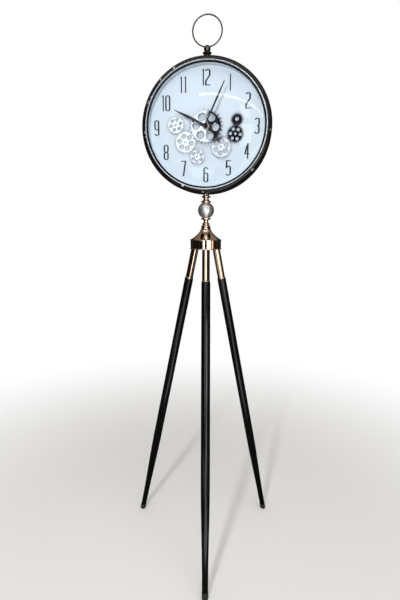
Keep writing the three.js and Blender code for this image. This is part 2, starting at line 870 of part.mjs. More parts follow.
function makeFrontWheel() {
  const rootRadius = frontWheelRadius - frontWheelToothHeight;
  const tooth = wedgeTooth(frontWheelRadius, rootRadius, frontWheelTipShare, frontWheelRootShare);
  const shape = toothedShape(frontWheelTeeth, 0, tooth);
  shape.holes.push(roundHole(0, 0, sleeveRadius + seatGap, smallSides));
  for (let i = 0; i < gearHoleCount; i++) {
    const angle = frontWheelFirstHole + (i / gearHoleCount) * 2 * Math.PI;
    const x = frontWheelHoleCircle * Math.cos(angle);
    const z = frontWheelHoleCircle * Math.sin(angle);
    shape.holes.push(roundHole(x, z, frontWheelHoleRadius, smallSides));
  }
  const mesh = piece("centre_wheel", plate(shape, gearThickness, -frontWheelBack), "chrome");
  mesh.position.y = dialFront;
  return mesh;
}

// Dial: one disc, pierced for the bush, the gear pins and the motor's shaft.
function makeDialPlate() {
  const shape = roundShape(dialRadius, caseSides);
  shape.holes.push(roundHole(0, 0, bushRadius + runningGap, smallSides));
  for (const [name, gear] of Object.entries(gears)) {
    if (name === "drive") continue;
    const stem = name === motorGear ? gearPinDiameter / 2 : gearPostRadius;
    shape.holes.push(roundHole(gear.x, gear.z, stem + runningGap));
  }
  return piece("dial_plate", plate(shape, dialThickness, dialBack), "silverDial");
}

// Hands: the bush through the dial, its nut, the hour tube and its hand, the arbor with its hand and cap.
function handShape(length, width, hub, bore) {
  const hipShare = 0.62; // where along the hand it is widest
  const waistShare = 0.28; // of the width, half of the stem at the hub
  const tipShare = 1 / 12; // of the width, half of the tip
  const waist = width * waistShare;
  const hubJoin = Math.sqrt(hub ** 2 - waist ** 2);
  const shape = new THREE.Shape();
  const start = Math.asin(waist / hub);
  const steps = 10;
  shape.moveTo(-waist, hubJoin);
  for (let i = 1; i <= steps; i++) {
    const angle = Math.PI / 2 + start + (i / steps) * (2 * Math.PI - 2 * start);
    shape.lineTo(hub * Math.cos(angle), hub * Math.sin(angle));
  }
  shape.lineTo(width / 2, length * hipShare);
  shape.lineTo(width * tipShare, length);
  shape.lineTo(-width * tipShare, length);
  shape.lineTo(-width / 2, length * hipShare);
  shape.holes.push(roundHole(0, 0, bore));
  return shape;
}

function makeHand(name, shape, bore, hub, back, angle) {
  const blade = plate(shape, handThickness, -back);
  const collet = tubeAlongY((hub + bore) / 2, bore, -back - joinLap, -back + handColletLength, holeSides);
  const mesh = piece(name, shaped(blade, [collet], []).rotateY(angle), "blackPaint");
  mesh.position.y = dialFront;
  return mesh;
}

function makeHandWork() {
  const tubeBore = hourTubeRadius + runningGap;
  const arborBore = arborRadius + runningGap;
  const bushBack = dialThickness + bushBehindDial;
  const bush = tubeAlongY(bushRadius, tubeBore, -bushEnd, bushBack, smallSides);
  const nut = hexNut(bushNutAcrossFlats, bushRadius + runningGap, bushNutHeight)
    .rotateX(Math.PI / 2)
    .translate(0, -bushNutBack, 0);
  const tube = tubeAlongY(hourTubeRadius, arborBore, -hourTubeEnd, bushBack, smallSides);
  const arbor = barAlongY(arborRadius, -arborEnd, bushBack + bushBehindDial, holeSides);
  const cap = turned(
    [
      [arborBore, -capBack],
      [capRadius, -capBack],
      [capRadius, -capBack - capHeight * capWallShare],
      [capRadius * domedHeadShare, -capBack - capHeight],
      [0, -capBack - capHeight],
      [0, -arborEnd - seatGap],
      [arborBore, -arborEnd - seatGap],
    ],
    holeSides,
  );
  const pieces = [
    piece("movement_bush", bush, "brass"),
    piece("bush_nut", nut, "brass"),
    piece("hour_tube", tube, "brass"),
    piece("minute_arbor", arbor, "steel"),
    piece("hand_cap", cap, "blackPaint"),
  ];
  for (const mesh of pieces) mesh.position.y = dialFront;
  const hourBore = hourTubeRadius + runningGap;
  const hourShape = handShape(hourHandLength, hourHandWidth, hourHubRadius, hourBore);
  const minuteShape = handShape(minuteHandLength, minuteHandWidth, minuteHubRadius, arborBore);
  pieces.push(makeHand("hour_hand", hourShape, hourBore, hourHubRadius, hourHandBack, hourHandAngle));
  pieces.push(
    makeHand("minute_hand", minuteShape, arborBore, minuteHubRadius, minuteHandBack, minuteHandAngle),
  );
  return pieces;
}

// A dry cell lying along X.
function makeCell(name) {
  const bodyEnd = cellLength / 2 - cellNubLength;
  const outline = [
    [0, -cellLength / 2],
    [cellDiameter / 2, -cellLength / 2],
    [cellDiameter / 2, bodyEnd],
    [cellNubRadius, bodyEnd],
    [cellNubRadius, cellLength / 2],
    [0, cellLength / 2],
  ];
  return piece(name, turned(outline, smallSides).rotateZ(-Math.PI / 2), "blackPlastic");
}

// A bay for the cell, open to the back of its housing.
function bayCutter(depthBehindCell) {
  const width = cellLength + 2 * bayClearance;
  const height = cellDiameter + 2 * bayClearance;
  const depth = height + depthBehindCell;
  return new THREE.BoxGeometry(width, depth, height).translate(0, depthBehindCell / 2, 0);
}

// Movement: a battery clock movement that hangs behind the dial on its bush.
function makeMovement() {
  const front = dialBack + seatGap;
  const back = front + movementDepth;
  const middle = movementSize / 2 - movementBelowArbor;
  const housing = plate(
    roundedBox(movementSize, movementSize, 0, middle, movementCornerRadius),
    movementDepth,
    back,
  );
  const housingTop = movementSize - movementBelowArbor;
  const bayHeight = housingTop - cellDiameter / 2 - 2 * bayClearance - bayWall;
  const cellDepth = back - cellDiameter / 2;
  const socket = bushBehindDial - seatGap;
  const arborSocket = socket + bushBehindDial;
  const cutters = [
    barAlongY(bushRadius + runningGap, front - overrun, front + socket + seatGap, smallSides),
    barAlongY(arborRadius + runningGap, front - overrun, front + arborSocket + seatGap, holeSides),
    barAlongY(knobStemRadius + runningGap, back - knobStemLength, back + overrun, holeSides)
      .translate(knobOffset, 0, 0),
    bayCutter(overrun).translate(0, cellDepth, bayHeight),
  ];
  const movement = piece("movement", shaped(housing, [], cutters), "blackPlastic");
  const cell = makeCell("movement_cell");
  cell.position.set(0, cellDepth, bayHeight);
  const knob = turned(
    [
      [0, back - knobStemLength + seatGap],
      [knobStemRadius, back - knobStemLength + seatGap],
      [knobStemRadius, back + seatGap],
      [knobRadius, back + seatGap],
      [knobRadius, back + seatGap + knobHeight],
      [0, back + seatGap + knobHeight],
    ],
    smallSides,
  );
  const knobMesh = piece("setting_knob", knob, "whitePlastic");
  knobMesh.position.x = knobOffset;
  return [movement, cell, knobMesh];
}

// Gear motor: a second battery box whose slow shaft comes through the dial and turns the lower right gear.
function makeGearMotor() {
  const gear = gears[motorGear];
  const front = dialBack + seatGap;
  const back = front + motorDepth;
  const middle = motorAboveShaft - motorHeight / 2;
  const housing = plate(
    roundedBox(motorWidth, motorHeight, 0, middle, movementCornerRadius),
    motorDepth,
    back,
  );
  const shaftBack = front + motorDepth / 2;
  const housingLow = motorAboveShaft - motorHeight;
  const bayHeight = housingLow + cellDiameter / 2 + 2 * bayClearance + bayWall;
  const cellDepth = back - cellDiameter / 2;
  const cutters = [
    barAlongY(gearPinDiameter / 2 + runningGap, front - overrun, shaftBack + seatGap, holeSides),
    bayCutter(overrun).translate(0, cellDepth, bayHeight),
  ];
  const motor = piece("gear_motor", shaped(housing, [], cutters), "blackPlastic");
  const cell = makeCell("motor_cell");
  cell.position.set(0, cellDepth, bayHeight);
  const headBack = dialFront - headOnGear(motorGear);
  const shaft = turned(
    [
      [0, shaftBack],
      [gearPinDiameter / 2, shaftBack],
      [gearPinDiameter / 2, headBack],
      [gearPinHeadRadius, headBack],
      [gearPinHeadRadius * domedHeadShare, headBack - gearPinHeadHeight],
      [0, headBack - gearPinHeadHeight],
    ],
    holeSides,
  );
  const group = new THREE.Group();
  group.position.set(gear.x, 0, gear.z);
  group.add(motor, cell, piece("motor_shaft", shaft, "chrome"));
  return group;
}

// Back cover: a disc on the case's flange, with a window behind each battery box, and its screws.
function makeBackCover() {
  const radius = caseRadius - backCoverInset;
  const shape = roundShape(radius, caseSides);
  const movementMiddle = movementSize / 2 - movementBelowArbor;
  const movementWindow = movementSize + 2 * windowMargin;
  shape.holes.push(
    roundedBox(movementWindow, movementWindow, 0, movementMiddle, windowCornerRadius, THREE.Path),
  );
  const gear = gears[motorGear];
  const motorWindowWidth = motorWidth + 2 * windowMargin;
  const motorWindowLow = gear.z + motorAboveShaft - motorHeight - windowMargin;
  const bridgeLow = -movementBelowArbor - windowMargin - windowBridge;
  const motorWindowHigh = Math.min(gear.z + motorAboveShaft, bridgeLow);
  shape.holes.push(
    roundedBox(
      motorWindowWidth,
      motorWindowHigh - motorWindowLow,
      gear.x,
      (motorWindowHigh + motorWindowLow) / 2,
      windowCornerRadius,
      THREE.Path,
    ),
  );
  const back = caseBack + seatGap + backCoverThickness;
  for (const [x, z] of coverScrewPlaces()) {
    shape.holes.push(roundHole(x, z, coverScrewDiameter / 2 + runningGap));
  }
  const pieces = [piece("back_cover", plate(shape, backCoverThickness, back), "blackSatin")];
  const headBack = back + seatGap;
  coverScrewPlaces().forEach(([x, z], index) => {
    const screw = turned(
      [
        [0, caseBack - caseWall - coverScrewTail],
        [coverScrewDiameter / 2, caseBack - caseWall - coverScrewTail],
        [coverScrewDiameter / 2, headBack],
        [coverScrewHeadRadius, headBack],
        [coverScrewHeadRadius * domedHeadShare, headBack + coverScrewHeadHeight],
        [0, headBack + coverScrewHeadHeight],
      ],
      holeSides,
    );
    const mesh = piece("cover_screw_" + (index + 1), screw, "steel");
    mesh.position.set(x, 0, z);
    pieces.push(mesh);
  });
  return pieces;
}

// Pendant: a cup and a cross-drilled ball on top of the case, which carry the bow.
const pendantBase = caseRadius + seatGap;
const pendantBallFlat = Math.sqrt((pendantBallDiameter / 2) ** 2 - pendantBallFlatRadius ** 2);
const pendantBallCentre = pendantBase + pendantHeight + seatGap + pendantBallFlat;

function makePendant() {
  const flangeLow = pendantHeight - pendantFlangeHeight;
  const cup = turnedUpright(
    [
      [0, -pendantSpigotLength],
      [pendantSpigotRadius, -pendantSpigotLength],
      [pendantSpigotRadius, 0],
      [pendantFootRadius, 0],
      [pendantFootRadius, pendantFootHeight],
      [pendantCupRadius, flangeLow],
      [pendantFlangeRadius, flangeLow],
      [pendantFlangeRadius, pendantHeight - pendantFlangeSlope],
      [pendantFootRadius, pendantHeight],
      [0, pendantHeight],
    ],
    stemSides,
  );
  const cupMesh = piece("pendant_cup", cup, "blackNickel");
  cupMesh.position.z = pendantBase;

  const radius = pendantBallDiameter / 2;
  const steps = 6;
  const startAngle = Math.asin(pendantBallFlatRadius / radius);
  const endAngle = Math.PI - Math.asin(pendantTipRadius / radius);
  const outline = [[0, -pendantBallFlat]];
  for (let i = 0; i <= steps; i++) {
    const angle = startAngle + (i / steps) * (endAngle - startAngle);
    outline.push([radius * Math.sin(angle), -radius * Math.cos(angle)]);
  }
  outline.push([0, radius + pendantTipHeight]);
  const pinBore = bowWireDiameter / 2 + runningGap;
  const pinHole = barUpright(pinBore, -radius - overrun, radius + overrun, smallSides)
    .rotateY(Math.PI / 2)
    .translate(0, 0, bowPivotRise);
  const ball = piece(
    "pendant_ball",
    shaped(turnedUpright(outline, stemSides), [], [pinHole]),
    "blackNickel",
  );
  ball.position.z = pendantBallCentre;
  return [cupMesh, ball];
}

// Bow: one round wire bent to a ring, open at the bottom, whose two ends turn in the pendant ball.
class WireRoute extends THREE.Curve {
  constructor(points) {
    super();
    this.points = points;
  }

  getPoint(share) {
    const place = share * (this.points.length - 1);
    const index = Math.min(Math.floor(place), this.points.length - 2);
    return this.points[index].clone().lerp(this.points[index + 1], place - index);
  }

  getPointAt(share) {
    return this.getPoint(share);
  }

  getUtoTmapping(share) {
    return share;
  }
}

function makeBow() {
  const radius = (bowOuterDiameter - bowWireDiameter) / 2;
  const centre = bowRise - bowPivotRise;
  const openAngle = Math.acos(centre / radius);
  const bend = radius * Math.sin(openAngle);
  const arcSteps = 26;
  const points = [new THREE.Vector3(bend - bowPinLength, 0, 0)];
  for (let i = 0; i <= arcSteps; i++) {
    const angle = openAngle + (i / arcSteps) * (2 * Math.PI - 2 * openAngle);
    points.push(new THREE.Vector3(radius * Math.sin(angle), 0, centre - radius * Math.cos(angle)));
  }
  points.push(new THREE.Vector3(bowPinLength - bend, 0, 0));
  const wire = new THREE.ExtrudeGeometry(roundShape(bowWireDiameter / 2, wireSides), {
    extrudePath: new WireRoute(points),
    steps: points.length - 1,
    bevelEnabled: false,
  });
  const bow = piece("bow_ring", wire, "blackNickel");
  bow.position.z = pendantBallCentre + bowPivotRise;
  return bow;
}

const stand = new THREE.Group();
stand.add(makeHubDrum(), makeBellCover(), makeLowerSpindle(), makeSpindleBall(), makeUpperSpindle());
stand.add(...makeRodAndNuts());
for (let index = 0; index < legCount; index++) stand.add(makeLeg(index));

const head = new THREE.Group();
head.position.z = caseCentre;
head.add(makeCaseShell(), makeBezelRing(), makeInnerRing(), makeGlassDome(), makeDialPlate());
head.add(makeDriveWheel(), makeFrontWheel());
for (const name of Object.keys(gears)) {
  if (name === "drive") continue;
  head.add(makeGear(name));
  if (name !== motorGear) head.add(makeGearPin(name));
}
head.add(...makeHandWork(), ...makeMovement(), makeGearMotor(), ...makeBackCover());
head.add(...makePendant(), makeBow());

// Everything is drawn round the stem's axis, then moved so that the clock's box is centred on the origin.
const clock = new THREE.Group();
clock.add(stand, head);
const middle = new THREE.Box3().setFromObject(clock, true).getCenter(new THREE.Vector3());
clock.position.set(-middle.x, -middle.y, 0);

const group = new THREE.Group();
group.add(clock);

export default group;
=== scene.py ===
import json
import math

import bmesh
import bpy
from mathutils import Matrix, Vector


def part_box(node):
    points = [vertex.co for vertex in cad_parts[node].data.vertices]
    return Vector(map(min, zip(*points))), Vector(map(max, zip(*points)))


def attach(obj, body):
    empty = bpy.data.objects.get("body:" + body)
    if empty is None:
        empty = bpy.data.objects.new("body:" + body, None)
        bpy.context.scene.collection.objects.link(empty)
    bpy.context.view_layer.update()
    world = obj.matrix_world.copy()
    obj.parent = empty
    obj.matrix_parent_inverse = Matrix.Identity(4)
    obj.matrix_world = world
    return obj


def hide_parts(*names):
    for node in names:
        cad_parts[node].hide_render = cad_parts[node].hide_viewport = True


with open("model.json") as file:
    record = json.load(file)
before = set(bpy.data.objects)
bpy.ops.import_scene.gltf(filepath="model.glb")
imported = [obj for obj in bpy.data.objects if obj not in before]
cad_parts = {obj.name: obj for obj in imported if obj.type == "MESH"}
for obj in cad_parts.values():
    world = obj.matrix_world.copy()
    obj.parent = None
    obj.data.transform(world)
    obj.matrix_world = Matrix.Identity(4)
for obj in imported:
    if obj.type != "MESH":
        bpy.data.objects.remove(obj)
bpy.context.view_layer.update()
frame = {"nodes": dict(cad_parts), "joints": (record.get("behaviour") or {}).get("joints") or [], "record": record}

# Camera
# It stands a little over a metre in front of the stem, a hand above the hub, and looks down a little,
# so that the whole clock just fits its upright frame.
mm = 0.001
ball_low, ball_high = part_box("spindle_ball")
stem = Vector(((ball_low.x + ball_high.x) / 2, (ball_low.y + ball_high.y) / 2, 0))
camera_turn = math.radians(7.54)
camera_aside = -15.5 * mm
camera_distance = 1200.2 * mm
camera_height = 997.2 * mm
camera_tilt = math.radians(10.766)
camera_roll = math.radians(0.3)
film_height = 36
lens_length = 25.2
nearest_seen = 10 * mm

camera = bpy.data.objects.new("camera", bpy.data.cameras.new("camera"))
camera.data.sensor_fit = "VERTICAL"
camera.data.sensor_width = film_height
camera.data.sensor_height = film_height
camera.data.lens = lens_length
camera.data.clip_start = nearest_seen
camera.matrix_world = (
    Matrix.Translation(stem)
    @ Matrix.Rotation(camera_turn, 4, "Z")
    @ Matrix.Translation((camera_aside, -camera_distance, camera_height))
    @ Matrix.Rotation(math.pi / 2 - camera_tilt, 4, "X")
    @ Matrix.Rotation(camera_roll, 4, "Z")
)
bpy.context.scene.collection.objects.link(camera)
bpy.context.scene.camera = camera
bpy.context.scene.view_settings.view_transform = "Standard"

# Studio
# A pale floor that fades into a white surround, soft lamps in front and above, and a few plain cards
# that only polished metal, lacquer and glass can see. Its sizes are in metres.


def feed(tree, kind, inputs=None, **settings):
    """A node of one kind in a node tree. An input is given a value or another node's output."""
    node = tree.nodes.new("ShaderNode" + kind)
    for setting, value in settings.items():
        setattr(node, setting, value)
    for socket_name, value in (inputs or {}).items():
        socket = node.inputs[socket_name]
        if isinstance(value, bpy.types.NodeSocket):
            tree.links.new(value, socket)
        else:
            socket.default_value = value
    return node


def maths(tree, operation, *values):
    """The outcome of a sum on one or two values."""
    return feed(tree, "Math", dict(enumerate(values)), operation=operation).outputs[0]


def ramp(tree, value, start, end, low=0.0, high=1.0, **settings):
    """A value that runs from low to high while another runs from start to end."""
    limits = {"Value": value, "From Min": start, "From Max": end, "To Min": low, "To Max": high}
    return feed(tree, "MapRange", limits, **settings).outputs[0]


def seen_directly(tree):
    """1 for what is seen straight, in a mirror or through glass, and 0 for the light it sends out."""
    path = feed(tree, "LightPath").outputs
    either = maths(tree, "MAXIMUM", path["Is Camera Ray"], path["Is Glossy Ray"])
    return maths(tree, "MAXIMUM", either, path["Is Transmission Ray"])


def emptied(holder):
    """The node tree of a new material or world, with nothing in it."""
    holder.use_nodes = True
    holder.node_tree.nodes.clear()
    return holder.node_tree


def added(name, form, finish):
    """The object of a finished form, put in the scene."""
    mesh = bpy.data.meshes.new(name)
    form.to_mesh(mesh)
    form.free()
    mesh.materials.append(finish)
    thing = bpy.data.objects.new(name, mesh)
    bpy.context.scene.collection.objects.link(thing)
    return thing


white = (1.0, 1.0, 1.0, 1.0)
surround_light = 0.55
world = bpy.data.worlds.new("studio")
tree = emptied(world)
surround = ramp(tree, seen_directly(tree), 0.0, 1.0, surround_light, 1.0)
backdrop = feed(tree, "Background", {"Color": white, "Strength": surround})
feed(tree, "OutputWorld", {"Surface": backdrop.outputs[0]})
bpy.context.scene.world = world

floor_half = 6.0
floor_colour = (0.80, 0.78, 0.75, 1.0)
fade_start = 0.45
fade_end = 1.9
floor_finish = bpy.data.materials.new("studio_floor")
tree = emptied(floor_finish)
where = feed(tree, "TexCoord").outputs["Object"]
floor_distance = feed(tree, "VectorMath", {0: where}, operation="LENGTH").outputs["Value"]
floor_fade = ramp(tree, floor_distance, fade_start, fade_end, interpolation_type="SMOOTHSTEP")
floor_shows = maths(tree, "MULTIPLY", floor_fade, seen_directly(tree))
lit_floor = feed(tree, "BsdfDiffuse", {"Color": floor_colour}).outputs[0]
white_floor = feed(tree, "Emission", {"Color": white}).outputs[0]
floor_look = feed(tree, "MixShader", {0: floor_shows, 1: lit_floor, 2: white_floor})
feed(tree, "OutputMaterial", {"Surface": floor_look.outputs[0]})
floor_form = bmesh.new()
bmesh.ops.create_grid(floor_form, x_segments=1, y_segments=1, size=floor_half)
added("studio_floor", floor_form, floor_finish)


def hang_lamp(name, place, aim, size, watts, colour):
    """A square soft lamp that shines from its place towards its aim."""
    lamp = bpy.data.objects.new(name, bpy.data.lights.new(name, "AREA"))
    lamp.data.size = size
    lamp.data.energy = watts
    lamp.data.color = colour
    lamp.location = place
    lamp.rotation_euler = (Vector(aim) - Vector(place)).to_track_quat("-Z", "Y").to_euler()
    lamp.visible_glossy = False
    lamp.visible_transmission = False
    bpy.context.scene.collection.objects.link(lamp)


dial_low, dial_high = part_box("dial_plate")
dial = Vector(((dial_low.x + dial_high.x) / 2, dial_low.y, (dial_low.z + dial_high.z) / 2))
key_place = dial + Vector((-0.41, -2.3, 0.46))
top_place = Vector((0.5, -0.9, 2.9))
top_aim = Vector((0, 0, 0.7))
hang_lamp("key_lamp", key_place, dial, size=0.18, watts=32, colour=(1.0, 0.99, 0.97))
hang_lamp("top_lamp", top_place, top_aim, size=1.4, watts=22, colour=(0.96, 0.98, 1.0))


def for_mirrors(name, form, glow_of):
    """A bright or dark body that only polished metal, lacquer and glass can see."""
    card_finish = bpy.data.materials.new(name)
    tree = emptied(card_finish)
    glow = feed(tree, "Emission", glow_of(tree))
    feed(tree, "OutputMaterial", {"Surface": glow.outputs[0]})
    card = added(name, form, card_finish)
    for way in ("camera", "diffuse", "transmission", "shadow", "volume_scatter"):
        setattr(card, "visible_" + way, False)


def card_form(place, sides=0):
    """A square, or an oval with many sides, one metre wide until its place stretches it."""
    form = bmesh.new()
    form.loops.layers.uv.new("across")
    if sides:
        bmesh.ops.create_circle(form, segments=sides, radius=0.5, cap_ends=True)
    else:
        bmesh.ops.create_grid(form, x_segments=1, y_segments=1, size=0.5, calc_uvs=True)
    bmesh.ops.transform(form, matrix=place, verts=form.verts)
    return form


def even_glow(colour, strength):
    """A glow that is the same all over a card."""
    return lambda tree: {"Color": (*colour, 1.0), "Strength": strength}


def soft_edged_glow(colour, strength):
    """A glow that is full in the middle of a card and dimmer along its edges."""

    def glow_of(tree):
        """The colour and the level of the glow over one card."""
        across = feed(tree, "SeparateXYZ", {0: feed(tree, "TexCoord").outputs["UV"]}).outputs
        shares = []
        for way in ("X", "Y"):
            off_middle = maths(tree, "ABSOLUTE", maths(tree, "SUBTRACT", across[way], 0.5))
            shares.append(ramp(tree, off_middle, 0.5, edge_start))
        inside = maths(tree, "MULTIPLY", *shares)
        level = ramp(tree, inside, 0.0, 1.0, strength * edge_glow_share, strength)
        return {"Color": (*colour, 1.0), "Strength": level}

    return glow_of


def cloudy_glow(tree):
    """A pale, cool glow with soft, cloudy changes."""
    where = feed(tree, "TexCoord").outputs["Object"]
    clouds = feed(tree, "TexNoise", {"Vector": where, "Scale": 7.0, "Detail": 2.0}).outputs["Fac"]
    return {"Color": (0.92, 0.96, 1.0, 1.0), "Strength": ramp(tree, clouds, 0.35, 0.65, 1.25, 1.55)}


def dim_glow(tree):
    """A warm, half-dark glow with slow changes of tone, paler at its top and its foot."""
    where = feed(tree, "TexCoord").outputs["Object"]
    noise = feed(tree, "TexNoise", {"Vector": where, "Scale": 1.1, "Detail": 1.0}).outputs["Fac"]
    height = feed(tree, "SeparateXYZ", {0: where}).outputs["Z"]
    side = ramp(tree, noise, 0.35, 0.65, 0.005, 0.035)
    top = ramp(tree, height, 2.3, 3.2, 0.0, 0.22)
    foot = ramp(tree, height, 0.05, 0.01, 0.0, 0.03)
    level = maths(tree, "ADD", maths(tree, "ADD", side, top), foot)
    return {"Color": (1.0, 0.80, 0.66, 1.0), "Strength": level}


def stand_card(name, azimuth, distance, low, high, width, colour, strength):
    """An upright card that faces the stem from an azimuth, dimmer along its edges."""
    place = (
        Matrix.Translation(stem)
        @ Matrix.Rotation(math.radians(azimuth), 4, "Z")
        @ Matrix.Translation((0, -distance, (low + high) / 2))
        @ upright
        @ Matrix.Diagonal((width, high - low, 1, 1))
    )
    for_mirrors(name, card_form(place), soft_edged_glow(colour, strength))


def near_card(name, low, high, ahead, glow_of, sides=0):
    """A card beside the camera, square to the clock, given by two corners as x and z."""
    height = (low[1] + high[1]) / 2
    middle = ((low[0] + high[0]) / 2, camera.matrix_world.translation.y + ahead, height)
    size = Matrix.Diagonal((high[0] - low[0], high[1] - low[1], 1, 1))
    for_mirrors(name, card_form(Matrix.Translation(middle) @ upright @ size, sides), glow_of)


def level_card(name, middle, azimuth, width, depth, colour, strength):
    """A card that lies flat, its depth pointing along an azimuth."""
    turn = Matrix.Rotation(math.radians(azimuth), 4, "Z")
    place = Matrix.Translation(middle) @ turn @ Matrix.Diagonal((width, depth, 1, 1))
    for_mirrors(name, card_form(place), even_glow(colour, strength))


upright = Matrix.Rotation(math.pi / 2, 4, "X")
edge_glow_share = 0.35
edge_start = 0.40
room_radius = 3.0
room_height = 3.2
room_gap = 0.004
room_form = bmesh.new()
bmesh.ops.create_cone(
    room_form,
    segments=64,
    radius1=room_radius,
    radius2=room_radius,
    depth=room_height,
    cap_ends=True,
    matrix=Matrix.Translation((stem.x, stem.y, room_height / 2 + room_gap)),
)
for_mirrors("card_room", room_form, dim_glow)

# two tall bright cards, and a lower, warm one at their right
tall_distance = 2.3
tall_low = 0.45
tall_high = 2.9
stand_card("card_window_left", -8, tall_distance, tall_low, tall_high, 0.46, (0.88, 0.95, 1.0), 4.5)
stand_card("card_window_right", 29, tall_distance, tall_low, tall_high, 1.10, (0.90, 0.96, 1.0), 4.0)
stand_card("card_tan", 57, tall_distance, tall_low, 1.25, 0.60, (1.0, 0.74, 0.50), 1.3)

# level with the camera, a broad dim card, and before it a pale one with a dark oval on it, two bright
# ones and a bright strip
near_card("card_backing", (-1.0, 1.10), (1.6, 2.4), -0.02, even_glow((0.55, 0.75, 1.0), 0.22))
near_card("card_pale", (-0.62, 1.10), (0.03, 1.68), 0.0, cloudy_glow)
near_card("card_pane_upper", (0.19, 1.54), (0.34, 1.66), 0.0, even_glow((0.97, 1.0, 0.97), 5.0))
near_card("card_pane_lower", (0.20, 1.27), (0.42, 1.48), 0.0, even_glow((0.97, 1.0, 0.95), 5.0))
near_card("card_strip", (-0.175, 1.69), (1.3, 1.725), 0.0, even_glow(white[:3], 11.0))
near_card("card_dark", (-0.124, 1.395), (-0.016, 1.61), 0.01, even_glow((0.5, 0.5, 0.6), 0.01), 48)

# two cards just above the floor in front of the clock, one below the tall cards, and one overhead
level_card("card_lit_floor", (0.25, -2.0, 0.008), 0, 3.2, 1.36, (1.0, 0.90, 0.86), 1.1)
level_card("card_gleam", (0.53, -1.42, 0.012), 22, 0.62, 2.2, (0.93, 0.96, 1.0), 1.7)
stand_card("card_sill", 24, tall_distance - 0.01, 0.02, tall_low + 0.01, 1.2, (0.90, 0.95, 1.0), 3.0)
level_card("card_lit_ceiling", (0.1, -1.5, 3.15), 0, 4.0, 1.3, (1.0, 0.95, 0.84), 1.3)

# Legs
# Three round wooden legs under satin black lacquer, parallel to knee height and tapered to the ankle.
# Each is turned in one piece, with a tenon that enters its ferrule and an end that enters its foot.
crease_angle = math.radians(33)
weld_distance = 0.001 * mm
hub_low, hub_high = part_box("hub_drum")
leg_circle = 35 * mm
leg_radius = 12.5 * mm
ankle_radius = 8.75 * mm
leg_end_radius = 8.25 * mm
leg_tenon_radius = 9.2 * mm
tenon_top = -4 * mm
knee_height = 252 * mm
knee_round = 60 * mm
ankle_height = 98 * mm
ankle_round = 40 * mm
ferrule_length = 90 * mm
foot_height = 19 * mm
seat_gap = 0.3 * mm
leg_sides = 48
usual_noise = (0.3, 0.7)
fillet_steps = 5
most_of_side = 0.48
leg_names = ("front", "right", "left")
soles = {
    mount["name"].split("_")[1]: Vector(mount["pos_m"]) for mount in frame["record"]["mounts"]
}


def spread(start, end, steps):
    """Values in even steps from a start to an end."""
    return [start + (end - start) * step / steps for step in range(steps + 1)]


def filleted(outline):
    """Outline points with round corners. A corner is (radius, height, fillet)."""
    points = []
    corners = [Vector(corner[:2]) for corner in outline]
    for index, corner in enumerate(outline):
        here = corners[index]
        fillet = corner[2] if len(corner) > 2 else 0
        if not fillet or index in (0, len(outline) - 1):
            points.append(here)
            continue
        back = corners[index - 1] - here
        ahead = corners[index + 1] - here
        reach = min(fillet, back.length * most_of_side, ahead.length * most_of_side)
        start = here + back.normalized() * reach
        end = here + ahead.normalized() * reach
        for share in spread(0, 1, fillet_steps):
            points.append(start.lerp(here, share).lerp(here.lerp(end, share), share))
    return points


def turned(outline, sides, place, closed=False):
    """A body turned about its own Z axis from an outline, wrapped for its finish and put in place."""
    form = bmesh.new()
    corners = [form.verts.new((radius, 0, height)) for radius, height in filleted(outline)]
    pairs = list(zip(corners, corners[1:] + corners[:1]))
    edges = [form.edges.new(pair) for pair in (pairs if closed else pairs[:-1])]
    bmesh.ops.spin(
        form,
        geom=corners + edges,
        cent=(0, 0, 0),
        axis=(0, 0, 1),
        angle=2 * math.pi,
        steps=sides,
        use_merge=True,
        use_duplicate=False,
    )
    bmesh.ops.remove_doubles(form, verts=form.verts, dist=weld_distance)
    bmesh.ops.recalc_face_normals(form, faces=form.faces)
    wrap = form.loops.layers.uv.new("wrap")
    for face in form.faces:
        angles = [math.atan2(loop.vert.co.y, loop.vert.co.x) for loop in face.loops]
        over_seam = max(angles) - min(angles) > math.pi
        for loop, angle in zip(face.loops, angles):
            share = angle / (2 * math.pi) + (1 if over_seam and angle < 0 else 0)
            loop[wrap].uv = (share, loop.vert.co.z + loop.vert.co.xy.length)
    bmesh.ops.transform(form, matrix=place, verts=form.verts)
    return form


def set_piece(name, form, finish, body, *stands_for):
    """Makes a form a piece of the clock that rides on a body and stands for its CAD nodes.
    A finish is a material and the name of its slot, and the slot's name is not used."""
    material, slot = finish
    piece = added(name, form, material)
    piece.data.shade_smooth()
    piece.data.set_sharp_from_angle(angle=crease_angle)
    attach(piece, body)
    if stands_for:
        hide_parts(*stands_for)


def trimmed(form, height, side):
    """The form cut off level at a height and closed there. side is 1 to drop what is above, -1 below."""
    cut = bmesh.ops.bisect_plane(
        form,
        geom=form.verts[:] + form.edges[:] + form.faces[:],
        dist=weld_distance,
        plane_co=(0, 0, height),
        plane_no=(0, 0, side),
        clear_outer=True,
    )["geom_cut"]
    rim = [item for item in cut if isinstance(item, bmesh.types.BMEdge)]
    bmesh.ops.triangle_fill(form, edges=rim, use_beauty=True)
    bmesh.ops.recalc_face_normals(form, faces=form.faces)
    return form


def along_leg(name):
    """The place of a leg's own axis, its Z up along the leg from under the hub, and the leg's length."""
    sole = soles[name]
    out = (sole - stem).normalized()
    top = stem + out * leg_circle
    top.z = hub_low.z
    slant = (top - sole).to_track_quat("Z", "Y").to_matrix().to_4x4()
    return Matrix.Translation(top) @ slant, (top - sole).length


def mottle(tree, where, cells, low, high, detail=3.0, stretch=(1, 1, 1)):
    """A soft random value between two limits, with so many cells to the metre."""
    placed = feed(tree, "Mapping", {"Vector": where, "Scale": stretch})
    noise = feed(tree, "TexNoise", {"Vector": placed.outputs[0], "Scale": cells, "Detail": detail})
    return ramp(tree, noise.outputs["Fac"], *usual_noise, low, high)


